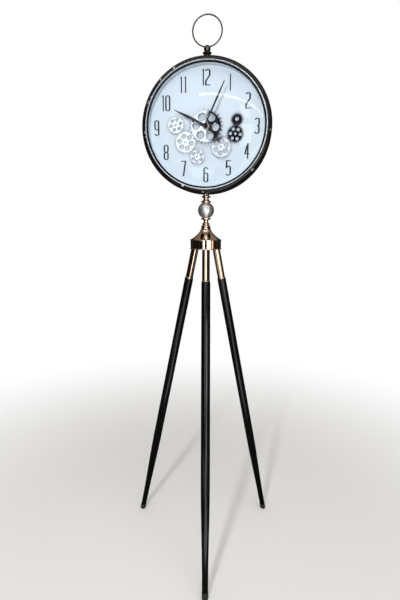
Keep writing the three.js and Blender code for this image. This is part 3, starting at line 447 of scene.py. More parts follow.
def raised(tree, height, distance, strength=1.0):
    """A surface normal with relief of a given real height."""
    relief = {"Height": height, "Distance": distance, "Strength": strength}
    return feed(tree, "Bump", relief).outputs[0]


def blend_colours(tree, share, one, other):
    """One colour turning into another with a share from 0 to 1."""
    mix = feed(tree, "Mix", {0: share, 6: (*one, 1.0), 7: (*other, 1.0)}, data_type="RGBA")
    return mix.outputs[2]


def show(tree, inputs):
    """Ends a material in the shader with these inputs."""
    shader = feed(tree, "BsdfPrincipled", inputs)
    feed(tree, "OutputMaterial", {"Surface": shader.outputs[0]})


lacquer_black = (0.0012, 0.0013, 0.0017)
lacquer_rubbed = (0.0032, 0.0034, 0.0042)
leg_lacquer = bpy.data.materials.new("leg_lacquer")
tree = emptied(leg_lacquer)
wrap = feed(tree, "TexCoord").outputs["UV"]
rubbed = mottle(tree, wrap, 14.0, 0.0, 1.0, 3.0, (2.0, 1.0, 1.0))
grain = mottle(tree, wrap, 6.0, 0.0, 1.0, 4.0, (9.0, 1.6, 1.0))
show(
    tree,
    {
        "Coat Weight": 0.35,
        "Coat Roughness": 0.10,
        "Specular IOR Level": 0.3,
        "Base Color": blend_colours(tree, rubbed, lacquer_black, lacquer_rubbed),
        "Roughness": mottle(tree, wrap, 9.0, 0.15, 0.22, 3.0, (6.0, 2.0, 1.0)),
        "Normal": raised(tree, grain, 0.02 * mm, 0.4),
    },
)

for name in leg_names:
    place, length = along_leg(name)
    along = length / hub_low.z
    shoulder = -ferrule_length - seat_gap
    end = -(length - foot_height) + seat_gap
    leg_outline = [
        (0, tenon_top),
        (leg_tenon_radius, tenon_top),
        (leg_tenon_radius, shoulder),
        (leg_radius, shoulder, 1.6 * mm),
        (leg_radius, -(length - knee_height * along), knee_round),
        (ankle_radius, -(length - ankle_height * along), ankle_round),
        (leg_end_radius, end, 0.6 * mm),
        (0, end),
    ]
    leg_form = turned(leg_outline, leg_sides, place)
    set_piece(f"turned_leg_{name}", leg_form, (leg_lacquer, "leg_paint"), "root", f"leg_{name}")

# Rubber feet
# Each leg ends in a matt black rubber foot, moulded with a groove round it and a soft lower edge. It is
# pushed onto the leg's end and cut level where it stands.
foot_radius = 8.7 * mm
foot_groove = 0.5 * mm
groove_depth = 3.6 * mm
groove_half = 0.6 * mm
sole_radius = 6.5 * mm
sole_spare = 2.5 * mm


def mottled_finish(
    name, tint, shine, relief=None, slot=None, metal=0, specular=0.5, coat=0, coat_roughness=0.03
):
    """A finish that varies between two colours and two roughnesses, and may have a relief. Each of the
    three begins with its cells to the metre and may end with how fine its detail is."""
    material = bpy.data.materials.new(name)
    tree = emptied(material)
    where = feed(tree, "TexCoord").outputs["Object"]
    cells, one, other, *detail = tint
    tone = mottle(tree, where, cells, 0.0, 1.0, *detail)
    inputs = {
        "Metallic": metal,
        "Specular IOR Level": specular,
        "Coat Weight": coat,
        "Coat Roughness": coat_roughness,
        "Base Color": blend_colours(tree, tone, one, other),
        "Roughness": mottle(tree, where, *shine),
    }
    if relief:
        cells, height, strength, *detail = relief
        bumps = mottle(tree, where, cells, 0.0, 1.0, *detail)
        inputs["Normal"] = raised(tree, bumps, height, strength)
    show(tree, inputs)
    return material, slot or name


foot_rubber = mottled_finish(
    "foot_rubber",
    tint=(160, (0.012, 0.012, 0.012), (0.030, 0.029, 0.028)),
    shine=(300, 0.62, 0.82),
    relief=(1500, 0.05 * mm, 1.0),
    specular=0.35,
)
for name in leg_names:
    place, length = along_leg(name)
    top = -(length - foot_height)
    foot_outline = [
        (0, top),
        (foot_radius, top, 0.8 * mm),
        (foot_radius, top - groove_depth + groove_half),
        (foot_radius - foot_groove, top - groove_depth),
        (foot_radius, top - groove_depth - groove_half),
        (foot_radius, -length + 1.0 * mm, 2.4 * mm),
        (sole_radius, -length - sole_spare),
        (0, -length - sole_spare),
    ]
    foot_form = trimmed(turned(foot_outline, leg_sides, place), 0, -1)
    set_piece(f"moulded_foot_{name}", foot_form, foot_rubber, "root", f"rubber_foot_{name}")

# Ferrules
# Bright gold-plated tubes round the tops of the legs. Each has a rolled lip at its lower end and is
# cut slantwise, so that it meets the hub's flat underside all round.
ferrule_radius = 10.75 * mm
ferrule_bore = 9.55 * mm
ferrule_spare = 5 * mm
ferrule_lip_radius = 11.8 * mm
ferrule_lip_length = 2.6 * mm
lip_slope = 0.9 * mm
rose_gold = mottled_finish(
    "rose_gold_plating",
    tint=(38, (0.84, 0.68, 0.53), (0.76, 0.58, 0.43)),
    shine=(90, 0.04, 0.10, 4.0),
    relief=(45, 0.05 * mm, 0.3, 1.0),
    slot="rose_gold",
    metal=1.0,
)
for name in leg_names:
    place, length = along_leg(name)
    lip = -ferrule_length + ferrule_lip_length
    ferrule_outline = [
        (ferrule_bore, ferrule_spare),
        (ferrule_radius, ferrule_spare),
        (ferrule_radius, lip + lip_slope, 0.8 * mm),
        (ferrule_lip_radius, lip, 0.7 * mm),
        (ferrule_lip_radius, -ferrule_length, 0.7 * mm),
        (ferrule_bore, -ferrule_length),
    ]
    ferrule_form = turned(ferrule_outline, leg_sides, place, closed=True)
    trimmed(ferrule_form, hub_low.z - seat_gap, 1)
    set_piece(f"plated_ferrule_{name}", ferrule_form, rose_gold, "root", f"ferrule_{name}")

# Hub
# A gold-plated cup with a small bead round its foot. The three legs screw into its thick base, and a
# spun, trumpet-shaped lid closes it and carries the stem.
hub_radius = 43.2 * mm
hub_height = hub_high.z - hub_low.z
bead_radius = hub_radius + 1.4 * mm
bead_height = 1.8 * mm
bead_slope = 0.5 * mm
stem_sides = 128


def about_stem(outline, low, sides=stem_sides):
    """A form turned about the stem's axis, from a height up."""
    return turned(outline, sides, Matrix.Translation((stem.x, stem.y, low)))


hub_outline = [
    (0, 0),
    (bead_radius, 0, 0.8 * mm),
    (bead_radius, bead_height, 0.8 * mm),
    (hub_radius, bead_height + bead_slope, 0.4 * mm),
    (hub_radius, hub_height, 0.5 * mm),
    (0, hub_height),
]
set_piece("plated_hub", about_stem(hub_outline, hub_low.z), rose_gold, "root", "hub_drum")

bell_low, bell_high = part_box("bell_cover")
bell_height = bell_high.z - bell_low.z
bell_neck_radius = 12.6 * mm
bell_rim_side = 2.2 * mm
bell_rim_height = 2.6 * mm
bell_flare_radius = hub_radius - 1.4 * mm
bell_flare_share = 1.9
bell_steps = 24
bell_outline = [(0, 0), (bead_radius, 0, 0.3 * mm), (bead_radius, bell_rim_side, 1.3 * mm)]
for share in spread(0, 1, bell_steps):
    flare = (1 - share) ** bell_flare_share
    radius = bell_neck_radius + (bell_flare_radius - bell_neck_radius) * flare
    bell_outline.append((radius, bell_rim_height + (bell_height - bell_rim_height) * share))
bell_outline.append((0, bell_height))
set_piece("spun_bell", about_stem(bell_outline, bell_low.z), rose_gold, "root", "bell_cover")

# Stem
# Two turned and gold-plated spindles with a satin silver ball between them. All three are threaded on
# the steel rod that runs up from the hub into the case.
disc_radius = 13.4 * mm
spindle_foot_radius = 13.0 * mm
band_radius = 10.6 * mm
upper_band_radius = 12.6 * mm
neck_radius = 6.8 * mm
waist_radius = neck_radius * 1.12
upper_neck_radius = neck_radius * 1.1
spindle_top_radius = neck_radius * 1.2


def turned_between(name, node, outline):
    """A plated spindle. Its outline is (radius, share of the node's height, fillet)."""
    low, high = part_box(node)
    corners = [(radius, share * (high.z - low.z), *rest) for radius, share, *rest in outline]
    set_piece(name, about_stem(corners, low.z), rose_gold, "root", node)


turned_between(
    "turned_lower_spindle",
    "lower_spindle",
    [
        (0, 0),
        (spindle_foot_radius, 0, 1.2 * mm),
        (spindle_foot_radius, 0.13, 1.4 * mm),
        (waist_radius, 0.21, 0.8 * mm),
        (band_radius, 0.26, 1.0 * mm),
        (band_radius, 0.37, 1.0 * mm),
        (neck_radius, 0.44, 2.0 * mm),
        (neck_radius, 0.76, 3.0 * mm),
        (disc_radius, 0.84, 1.0 * mm),
        (disc_radius, 1.0, 1.0 * mm),
        (0, 1.0),
    ],
)
turned_between(
    "turned_upper_spindle",
    "upper_spindle",
    [
        (0, 0),
        (disc_radius, 0, 1.0 * mm),
        (disc_radius, 0.16, 1.2 * mm),
        (upper_neck_radius, 0.30, 2.0 * mm),
        (upper_neck_radius, 0.56, 1.6 * mm),
        (upper_band_radius, 0.66, 0.8 * mm),
        (upper_band_radius, 0.77, 0.8 * mm),
        (spindle_top_radius, 0.84, 0.8 * mm),
        (spindle_top_radius, 1.0),
        (0, 1.0),
    ],
)


def ball_side(radius, start, end, steps):
    """Points on the side of a ball about its middle, between two angles from straight down."""
    angles = spread(start, end, steps)
    return [(radius * math.sin(angle), -radius * math.cos(angle)) for angle in angles]


ball_radius = 22.5 * mm
ball_steps = 40
ball_seat_radius = 9 * mm
ball_cut = math.asin(ball_seat_radius / ball_radius)
ball_flat = ball_radius * math.cos(ball_cut)
ball_middle = (ball_low.z + ball_high.z) / 2
satin_silver = mottled_finish(
    "satin_silver",
    tint=(600, (0.90, 0.90, 0.90), (0.84, 0.84, 0.84)),
    shine=(500, 0.34, 0.40),
    relief=(2600, 0.004 * mm, 1.0),
    metal=0.96,
)
ball_curve = ball_side(ball_radius, ball_cut, math.pi - ball_cut, ball_steps)
ball_outline = [(0, -ball_flat), *ball_curve, (0, ball_flat)]
set_piece("satin_ball", about_stem(ball_outline, ball_middle), satin_silver, "root", "spindle_ball")

# Case
# A spun steel drum in gloss black lacquer. Its front rim is rounded and rubbed through to bright metal
# in small nicks, mostly at the upper left, where it is handled.
case_low, case_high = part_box("case_shell")
case_middle = Vector((stem.x, (case_low.y + case_high.y) / 2, (case_low.z + case_high.z) / 2))
facing_front = Matrix.Translation(case_middle) @ upright
case_radius = (case_high.z - case_low.z) / 2
case_half_depth = (case_high.y - case_low.y) / 2
case_wall = 1.5 * mm
rim_width = 11.9 * mm
rim_depth = 13 * mm
back_flange = 20 * mm
back_round = 4 * mm
rim_start = case_radius - rim_width
lip_radius = rim_start - 2.4 * mm
case_sides = 256


def rim_curve(inset, steps):
    """The rounded front rim, from the flat lip to the drum's side, at an inset from its outer face."""
    rim_back = case_half_depth - rim_depth
    return [
        (
            rim_start + (rim_width - inset) * math.sin(angle),
            rim_back + (rim_depth - inset) * math.cos(angle),
        )
        for angle in spread(0, math.pi / 2, steps)
    ]


def about_dial(outline, closed=True):
    """A body turned about the dial's axis, its heights counted forward from the case's middle."""
    return turned(outline, case_sides, facing_front, closed)


nick_cells = 90
nick_edge = (0.40, 0.33)
metal_roughness = 0.32
nick_radii = (171.5 * mm, 170 * mm)
nick_front = (-8 * mm, -14 * mm)
nicks_from_right = (20 * mm, -120 * mm)
nicks_from_below = (-60 * mm, 100 * mm)
fewest_spared = 0.54
most_spared = 0.94
bright_metal = (0.86, 0.87, 0.88, 1.0)
case_lacquer = bpy.data.materials.new("case_lacquer")
tree = emptied(case_lacquer)
where = feed(tree, "TexCoord").outputs["Object"]
centred = feed(tree, "Mapping", {"Vector": where, "Location": -case_middle}).outputs[0]
parts = feed(tree, "SeparateXYZ", {0: centred}).outputs
toward_left = ramp(tree, parts["X"], *nicks_from_right)
upper_left = maths(tree, "MULTIPLY", toward_left, ramp(tree, parts["Z"], *nicks_from_below))
flat_parts = feed(tree, "CombineXYZ", {"X": parts["X"], "Z": parts["Z"]}).outputs[0]
from_axis = feed(tree, "VectorMath", {0: flat_parts}, operation="LENGTH").outputs["Value"]
nicks = feed(tree, "TexVoronoi", {"Vector": where, "Scale": nick_cells}).outputs
nick_chance = feed(tree, "SeparateColor", {0: nicks["Color"]}).outputs[0]
spared = ramp(tree, upper_left, 0.0, 1.0, most_spared, fewest_spared)
nicked = maths(tree, "GREATER_THAN", nick_chance, spared)
chip = maths(tree, "MULTIPLY", nicked, ramp(tree, nicks["Distance"], *nick_edge))
in_front = ramp(tree, parts["Y"], *nick_front)
front_rim = maths(tree, "MULTIPLY", ramp(tree, from_axis, *nick_radii), in_front)
worn = maths(tree, "MULTIPLY", chip, front_rim)
tone = mottle(tree, where, 30.0, 0.0, 1.0)
lacquer = blend_colours(tree, tone, (0.0052, 0.0040, 0.0032), (0.011, 0.008, 0.006))
polish = mottle(tree, where, 45.0, 0.10, 0.20)
chip_depth = maths(tree, "SUBTRACT", mottle(tree, where, 70.0, 0.0, 1.0, 1.0), worn)
colour = feed(tree, "Mix", {0: worn, 6: lacquer, 7: bright_metal}, data_type="RGBA").outputs[2]
roughness = feed(tree, "Mix", {0: worn, 2: polish, 3: metal_roughness}, data_type="FLOAT").outputs[0]
show(
    tree,
    {
        "Coat Weight": 0.2,
        "Coat Roughness": 0.08,
        "Specular IOR Level": 0.32,
        "Base Color": colour,
        "Metallic": worn,
        "Roughness": roughness,
        "Normal": raised(tree, chip_depth, 0.06 * mm, 0.5),
    },
)
case_outline = [
    (lip_radius, case_half_depth),
    *rim_curve(inset=0, steps=20),
    (case_radius, -case_half_depth, back_round),
    (case_radius - back_flange, -case_half_depth),
    (case_radius - back_flange, -case_half_depth + case_wall),
    (case_radius - case_wall, -case_half_depth + case_wall, back_round - case_wall),
    *reversed(rim_curve(inset=case_wall, steps=8)),
    (lip_radius, case_half_depth - case_wall),
]
set_piece("spun_case", about_dial(case_outline), (case_lacquer, "case_lacquer"), "head", "case_shell")

# Bezel
# A thin bright silver ring with sloping flanks, let into the case's lip. Behind it a black ledge, with
# a thin pale lining inside, leads down to the dial.
bezel_low, bezel_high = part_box("bezel_ring")
bezel_back = case_middle.y - bezel_high.y
bezel_front = case_middle.y - bezel_low.y
bezel_bore = rim_start - 3.2 * mm
bezel_flank = 0.6 * mm
bezel_silver = mottled_finish(
    "bezel_silver",
    tint=(55, (0.74, 0.78, 0.82), (0.66, 0.70, 0.74)),
    shine=(260, 0.22, 0.32),
    metal=1.0,
)
bezel_outline = [
    (bezel_bore, bezel_back),
    (bezel_bore + bezel_flank, bezel_front, 0.5 * mm),
    (rim_start - bezel_flank, bezel_front, 0.5 * mm),
    (rim_start, bezel_back),
]
set_piece("bright_bezel", about_dial(bezel_outline), bezel_silver, "head", "bezel_ring")

ring_low, ring_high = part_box("inner_ring")
ring_front = case_middle.y - ring_low.y
ring_back = case_middle.y - ring_high.y
ring_bore = 154.9 * mm
ledge_black = mottled_finish(
    "ledge_black",
    tint=(80, (0.0060, 0.0060, 0.0065), (0.011, 0.011, 0.012)),
    shine=(200, 0.50, 0.64),
    slot="case_lacquer",
    specular=0.15,
)
ring_outline = [
    (ring_bore, ring_front, 0.5 * mm),
    (rim_start, ring_front),
    (rim_start, ring_front - case_wall),
    (ring_bore + case_wall, ring_front - case_wall),
    (ring_bore + case_wall, ring_back),
    (ring_bore, ring_back),
]
set_piece("black_ledge", about_dial(ring_outline), ledge_black, "head", "inner_ring")

lining_bore = ring_bore - 0.5 * mm
lining_front = ring_front - 1.0 * mm
lining_white = mottled_finish(
    "lining_white",
    tint=(60, (0.66, 0.74, 0.82), (0.60, 0.68, 0.76)),
    shine=(200, 0.40, 0.52),
    slot="dial_enamel",
    specular=0.4,
)
lining_outline = [
    (lining_bore, lining_front),
    (ring_bore, lining_front),
    (ring_bore, ring_back),
    (lining_bore, ring_back),
]
set_piece("pale_lining", about_dial(lining_outline), lining_white, "head")

# Dial
# A flat disc in a pale, bluish silver-white satin, let into the case behind the glass. Tall, narrow,
# dark grey numerals are printed on it, each with its outer corner on one ring.


def dress(finish, *nodes):
    """Gives a finish to CAD nodes that are shown as they are."""
    for node in nodes:
        materials = frame["nodes"][node].data.materials
        materials.clear()
        materials.append(finish[0])


dial_enamel = mottled_finish(
    "dial_enamel",
    tint=(9, (0.60, 0.69, 0.78), (0.57, 0.65, 0.73), 2.0),
    shine=(420, 0.34, 0.44),
    relief=(1400, 0.012 * mm, 1.0),
    specular=0.4,
)
dress(dial_enamel, "dial_plate")

dial_ink = mottled_finish(
    "dial_ink",
    tint=(700, (0.006, 0.008, 0.011), (0.014, 0.017, 0.022)),
    shine=(900, 0.40, 0.58),
    slot="dial_enamel",
    specular=0.3,
)
numeral_ring = 143.6 * mm
numeral_height = 40.4 * mm
numeral_width = 14.4 * mm
reach_step = 0.25 * mm
stroke = 4.3 * mm
bar_stroke = 3.2 * mm
thin_share = 0.56
ink_thickness = 0.12 * mm
arc_steps = 12
side = (numeral_width - stroke) / 2
rise = (numeral_height - stroke * thin_share) / 2
bowl = rise - side
full = numeral_height / 2
flag = 2.6 * mm


def arc(x, z, start, end, radius=side):
    """Points on a round bend of a numeral, between two angles in degrees."""
    angles = [math.radians(angle) for angle in spread(start, end, arc_steps)]
    return [(x + radius * math.cos(angle), z + radius * math.sin(angle)) for angle in angles]


six = [arc(0, bowl, 12, 180) + arc(0, -bowl, 180, 360) + arc(0, 0, 0, 172)]
digits = {
    "0": [arc(0, bowl, 0, 180) + arc(0, -bowl, 180, 360) + [(side, bowl)]],
    "1": [[(0, -full), (0, full)]],
    "l": [[(0, -full), (0, full)], [(0, full - flag * 0.4), (-flag, full - flag * 1.5)]],
    "2": [
        arc(0, bowl, 168, 0)
        + [(side, full * 0.24), (side * 0.7, full * 0.12)]
        + [(-side * 0.7, -full * 0.36), (-side, -full * 0.48), (-side, -rise)],
        [(-side - stroke / 2, -rise), (side + stroke / 2, -rise)],
    ],
    "3": [
        arc(0, bowl, 168, 0) + arc(0, side, 0, -90),
        arc(0, -side, 90, 0) + arc(0, -bowl, 0, -168),
    ],
    "4": [
        [(side * 0.45, -full), (side * 0.45, full)],
        [(side * 0.35, full - stroke / 2), (-side, -rise * 0.32)],
        [(-side - stroke / 3, -rise * 0.36), (side + stroke / 2, -rise * 0.36)],
    ],
    "5": [
        [(side + stroke / 3, rise), (-side - stroke / 2, rise)],
        [(-side, rise), (-side, -0.02 * rise)],
        arc(0, 0, 176, 0) + arc(0, -bowl, 0, -168),
    ],
    "6": six,
    "7": [
        [(-side - stroke / 2, rise), (side + stroke / 2, rise)],
        [(side, rise), (-side * 0.15, -full)],
    ],
    "8": [
        arc(0, bowl, 0, 180) + arc(0, side, 180, 360) + [(side, bowl)],
        arc(0, -side, 0, 180) + arc(0, -bowl, 180, 360) + [(side, -side)],
    ],
    "9": [[(-x, -z) for x, z in six[0]]],
}
pair_offsets = {"10": (-9.0 * mm, 3.4 * mm), "11": (-5.6 * mm, 5.6 * mm), "12": (-8.6 * mm, 3.2 * mm)}
half_widths = {"10": 10.2 * mm, "11": 6.9 * mm, "12": 9.9 * mm, "1": bar_stroke / 2}


def printed(digit, offset):
    """A digit's strokes as a mesh of round bands, aside from the numeral's middle by an offset."""
    curve = bpy.data.curves.new("strokes", "CURVE")
    curve.dimensions = "3D"
    curve.bevel_depth = (bar_stroke if digit in "1l" else stroke) / 2
    curve.bevel_resolution = 3
    curve.use_fill_caps = True
    for points in digits[digit]:
        spline = curve.splines.new("POLY")
        spline.points.add(len(points) - 1)
        for point, (x, z) in zip(spline.points, points):
            point.co = (x + offset, z / thin_share, 0, 1)
    holder = bpy.data.objects.new("strokes", curve)
    bands = bpy.data.meshes.new_from_object(holder)
    bpy.data.objects.remove(holder)
    bpy.data.curves.remove(curve)
    bands.transform(Matrix.Diagonal((1, thin_share, 1, 1)))
    return bands


def numeral_reach(angle, half_width):
    """How far out a numeral stands when its outer corner touches the ring."""
    across, along = abs(math.sin(angle)), abs(math.cos(angle))
    steps = 0
    while math.hypot(
        steps * reach_step * across + half_width, steps * reach_step * along + full
    ) <= numeral_ring:
        steps += 1
    return steps * reach_step


for hour in range(1, 13):
    text = str(hour)
    angle = math.radians(30 * hour)
    reach = numeral_reach(angle, half_widths.get(text, numeral_width / 2))
    numeral_form = bmesh.new()
    drawn = text if hour < 10 else text.replace("1", "l")
    for digit, offset in zip(drawn, pair_offsets.get(text, (0,))):
        bands = printed(digit, offset)
        numeral_form.from_mesh(bands)
        bpy.data.meshes.remove(bands)
    bmesh.ops.remove_doubles(numeral_form, verts=numeral_form.verts, dist=weld_distance)
    out = Vector((math.sin(angle), 0, math.cos(angle))) * reach
    place = Matrix.Translation(dial + out - Vector((0, ink_thickness / 2, 0))) @ upright
    flatten = Matrix.Diagonal((1, 1, ink_thickness / stroke, 1))
    bmesh.ops.transform(numeral_form, matrix=place @ flatten, verts=numeral_form.verts)
    bmesh.ops.recalc_face_normals(numeral_form, faces=numeral_form.faces)
    set_piece(f"numeral_{hour}", numeral_form, dial_ink, "head")

# Gears
# Polished wheels stamped from 2 mm plate, in one train with the fine wheel on the centre. Five turn on
# headed pins and one on its motor's shaft. The two at the right are near black, a painted dark reflection.
gear_module = 1.8 * mm
gear_thickness = 2 * mm
close_enough = 0.01 * mm
gear_edge = 0.45 * mm
hole_edge = 1.0 * mm
edge_slope = math.tan(math.radians(36))
addendum = 0.9 * gear_module
dedendum = 1.4 * gear_module
tip_share = 0.28
root_share = 0.46
pin_radius = 2 * mm
pin_hole_radius = pin_radius + seat_gap
hole_sides = 32
gear_holes = 6
axes = {joint["child"]: Vector(joint["pos_m"]) for joint in frame["joints"]}


def mesh_phase(driver, driver_phase, driver_teeth, driven, teeth):
    """The angle of a driven wheel's first tooth, so that its teeth stand between the driver's."""
    step = axes[driven] - axes[driver]
    direction = math.atan2(step.z, step.x)
    turns = (direction - driver_phase) / (2 * math.pi / driver_teeth)
    share = turns - math.floor(turns)
    return direction + math.pi + (share + 0.5) * 2 * math.pi / teeth


def stamped(outline, holes, thickness, edge, hole_edge, place):
    """A flat plate on its back, with round holes, given as (x, z, radius), and sloping edges in front,
    put in its place."""
    form = bmesh.new()
    corners = [form.verts.new((x, z, 0)) for x, z in outline]
    for pair in zip(corners, corners[1:] + corners[:1]):
        form.edges.new(pair)
    for x, z, radius in holes:
        middle = Matrix.Translation((x, z, 0))
        bmesh.ops.create_circle(form, segments=hole_sides, radius=radius, matrix=middle)
    bmesh.ops.triangle_fill(form, edges=form.edges[:], use_beauty=True)
    bmesh.ops.recalc_face_normals(form, faces=form.faces)
    top = bmesh.ops.extrude_face_region(form, geom=form.faces[:])["geom"]
    top_corners = [item for item in top if isinstance(item, bmesh.types.BMVert)]
    bmesh.ops.translate(form, verts=top_corners, vec=(0, 0, thickness / edge_slope))
    bmesh.ops.recalc_face_normals(form, faces=form.faces)
    rims = [
        line
        for line in form.edges
        if line.is_manifold
        and min(corner.co.z for corner in line.verts) > 0
        and line.calc_face_angle() > crease_angle
    ]

    def round_hole(line):
        """Whether an edge lies on the rim of one of the holes."""
        return any(
            all(abs(math.hypot(c.co.x - x, c.co.y - z) - radius) < close_enough for c in line.verts)
            for x, z, radius in holes
        )

    hole_rims = [line for line in rims if round_hole(line)]
    outer_rims = [line for line in rims if not round_hole(line)]
    for lines, width in ((hole_rims, hole_edge), (outer_rims, edge)):
        bmesh.ops.bevel(
            form,
            geom=[line for line in lines if line.is_valid],
            offset=width,
            segments=1,
            profile=0.5,
            affect="EDGES",
            material=-1,
            clamp_overlap=True,
        )
    bmesh.ops.scale(form, verts=form.verts, vec=(1, 1, edge_slope))
    bmesh.ops.transform(form, matrix=place, verts=form.verts)
    return form


def toothed(teeth, phase, tip, root, tip_width, root_width):
    """The outline of a toothed wheel. Tooth widths are shares of the pitch."""
    outline = []
    rising = [(-root_width / 2, root), (-tip_width / 2, tip)]
    falling = [(tip_width / 2, tip), (root_width / 2, root)]
    for tooth in range(teeth):
        for share, radius in rising + falling:
            angle = phase + (tooth + share) / teeth * 2 * math.pi
            outline.append((radius * math.cos(angle), radius * math.sin(angle)))
    return outline


def fine_toothed(teeth, phase):
    """The outline of a wheel with the fine teeth that mesh."""
    radius = gear_module * teeth / 2
    return toothed(teeth, phase, radius + addendum, radius - dedendum, tip_share, root_share)


def ring_of_holes(circle, radius, start):
    """Holes spread evenly on a circle, as (x, z, radius)."""
    angles = [start + index / gear_holes * 2 * math.pi for index in range(gear_holes)]
    return [(circle * math.cos(angle), circle * math.sin(angle), radius) for angle in angles]


def facing(centre, back):
    """The place of a form whose own Z grows towards the front of the clock, from a back at y."""
    return Matrix.Translation((centre.x, back, centre.z)) @ upright


def polished_metal(name, bright, dull, low, high):
    """A polished or plated metal with fine polishing marks left in its shine."""
    marks = (220, 0.02 * mm, 0.4, 1.0)
    return mottled_finish(name, (120, bright, dull), (340, low, high, 4.0), marks, metal=1.0)


gear_chrome = polished_metal("gear_chrome", (0.86, 0.89, 0.92), (0.76, 0.79, 0.82), 0.03, 0.07)
# The two right-hand gears and the boss are a near-black polished metal: their dark colour is a painted dark
# reflection.
painted_reflection_paler = (0.035, 0.036, 0.040)
painted_reflection_deeper = (0.020, 0.020, 0.023)
painted_dark_reflection_finish = polished_metal("gear_black_nickel", painted_reflection_paler, painted_reflection_deeper, 0.12, 0.24)

# each gear, the one that drives it, its teeth, its holes' radius and circle, and its finish
gear_train = [
    ("gear_lower_left", "centre_wheel", 32, 5.6 * mm, 15.8 * mm, gear_chrome),
    ("gear_left", "gear_lower_left", 26, 3.9 * mm, 13.2 * mm, gear_chrome),
    ("gear_bottom", "gear_lower_left", 23, 4.0 * mm, 12.2 * mm, gear_chrome),
    ("gear_lower_right", "centre_wheel", 31, 5.5 * mm, 15.2 * mm, gear_chrome),
    ("gear_right", "gear_lower_right", 24, 4.4 * mm, 13.0 * mm, painted_dark_reflection_finish),
    ("gear_upper_right", "gear_right", 17, 0, 0, painted_dark_reflection_finish),
]
teeth_of = {"centre_wheel": 43}
phase_of = {"centre_wheel": 0.0}
for name, driver, teeth, hole_radius, hole_circle, finish in gear_train:
    phase = mesh_phase(driver, phase_of[driver], teeth_of[driver], name, teeth)
    teeth_of[name] = teeth
    phase_of[name] = phase
    holes = [(0, 0, pin_hole_radius)]
    if hole_radius:
        holes += ring_of_holes(hole_circle, hole_radius, phase)
    place = facing(axes[name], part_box(name)[1].y)
    gear_form = stamped(fine_toothed(teeth, phase), holes, gear_thickness, gear_edge, hole_edge, place)
    set_piece(f"stamped_{name}", gear_form, finish, name, name)

# Boss of the small black gear
# A turned collar in the same near-black polished metal, a painted dark reflection, raised round the pin
# and fixed to the gear. Its front has a shallow recess for the pin's wide head.
collar_radius = 8.8 * mm
recess_radius = pin_hole_radius + 3.6 * mm
recess_floor_radius = pin_hole_radius + 3.1 * mm
recess_depth = 0.9 * mm
collar_low, collar_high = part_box("gear_upper_right")
collar_front = collar_high.y - collar_low.y
collar_outline = [
    (pin_hole_radius, gear_thickness),
    (collar_radius, gear_thickness),
    (collar_radius, collar_front, 0.8 * mm),
    (recess_radius, collar_front, 0.4 * mm),
    (recess_floor_radius, collar_front - recess_depth),
    (pin_hole_radius, collar_front - recess_depth),
]
collar_place = facing(axes["gear_upper_right"], collar_high.y)
collar_form = turned(collar_outline, hole_sides, collar_place, closed=True)
set_piece("gear_boss", collar_form, painted_dark_reflection_finish, "gear_upper_right")

# Centre wheels
# The fine drive wheel turns on the bush, and in front of it sits the coarse show wheel. Each has six
# holes, and a turned sleeve carries both.
front_radius = 46 * mm
front_root_radius = 40 * mm
front_teeth = 26
front_tip_share = 0.18
front_root_share = 0.36
front_edge = 0.6 * mm
front_hole_edge = 1.1 * mm
front_hole_circle = 26 * mm
drive_hole_circle = 25.6 * mm
wheel_hole_radius = 9.6 * mm
wheel_turn = math.radians(-5)
sleeve_bore = 5.3 * mm
sleeve_radius = 7.6 * mm
shoulder_radius = 9.0 * mm
drive_low, drive_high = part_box("centre_drive_wheel")
show_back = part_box("centre_wheel")[1].y
fine_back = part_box("gear_left")[1].y
wheel_axis = axes["centre_wheel"]
drive_form = stamped(
    fine_toothed(teeth_of["centre_wheel"], phase_of["centre_wheel"]),
    [(0, 0, shoulder_radius), *ring_of_holes(drive_hole_circle, wheel_hole_radius, wheel_turn)],
    gear_thickness,
    gear_edge,
    gear_edge,
    facing(wheel_axis, fine_back),
)
set_piece("stamped_drive_wheel", drive_form, gear_chrome, "centre_wheel", "centre_drive_wheel")
sleeve_length = drive_high.y - drive_low.y
shoulder_length = drive_high.y - show_back - seat_gap
sleeve_outline = [
    (sleeve_bore, 0),
    (shoulder_radius, 0, 0.3 * mm),
    (shoulder_radius, shoulder_length, 0.3 * mm),
    (sleeve_radius, shoulder_length),
    (sleeve_radius, sleeve_length, 0.4 * mm),
    (sleeve_bore, sleeve_length),
]
sleeve_form = turned(sleeve_outline, hole_sides * 2, facing(wheel_axis, drive_high.y), closed=True)
set_piece("turned_sleeve", sleeve_form, gear_chrome, "centre_wheel")
show_form = stamped(
    toothed(front_teeth, 0.0, front_radius, front_root_radius, front_tip_share, front_root_share),
    [(0, 0, sleeve_radius + seat_gap), *ring_of_holes(front_hole_circle, wheel_hole_radius, wheel_turn)],
    gear_thickness,
    front_edge,
    front_hole_edge,
    facing(wheel_axis, show_back),
)
set_piece("stamped_show_wheel", show_form, gear_chrome, "centre_wheel", "centre_wheel")

# Gear pins
# Turned pins with a thick foot that keeps each gear off the dial and a centre-drilled head that holds
# it on. The lower right gear has its motor's shaft instead, with the same head and no foot.
head_radius = 3.4 * mm
wide_head_radius = 4.9 * mm
head_height = 1.8 * mm
head_side_share = 0.65
drilling_share = 0.42
drilling_depth_share = 0.7


def headed_pin(node, gear, body, head, footed=True):
    """A pin turned from one bar, its foot in the dial and its head in front of a gear."""
    low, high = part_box(node)
    length = high.y - low.y
    foot = high.y - fine_back - seat_gap
    start = [(head_radius, 0), (head_radius, foot), (pin_radius, foot)]
    outline = [
        (0, 0),
        *(start if footed else [(pin_radius, 0, 0.3 * mm)]),
        (pin_radius, length - head_height),
        (head, length - head_height, 0.2 * mm),
        (head, length - head_height * (1 - head_side_share), 0.6 * mm),
        (head * drilling_share, length),
        (0, length - head_height * drilling_depth_share),
    ]
    form = turned(outline, hole_sides, facing(axes[gear], high.y))
    set_piece("turned_" + node.removeprefix("gear_"), form, gear_chrome, body, node)


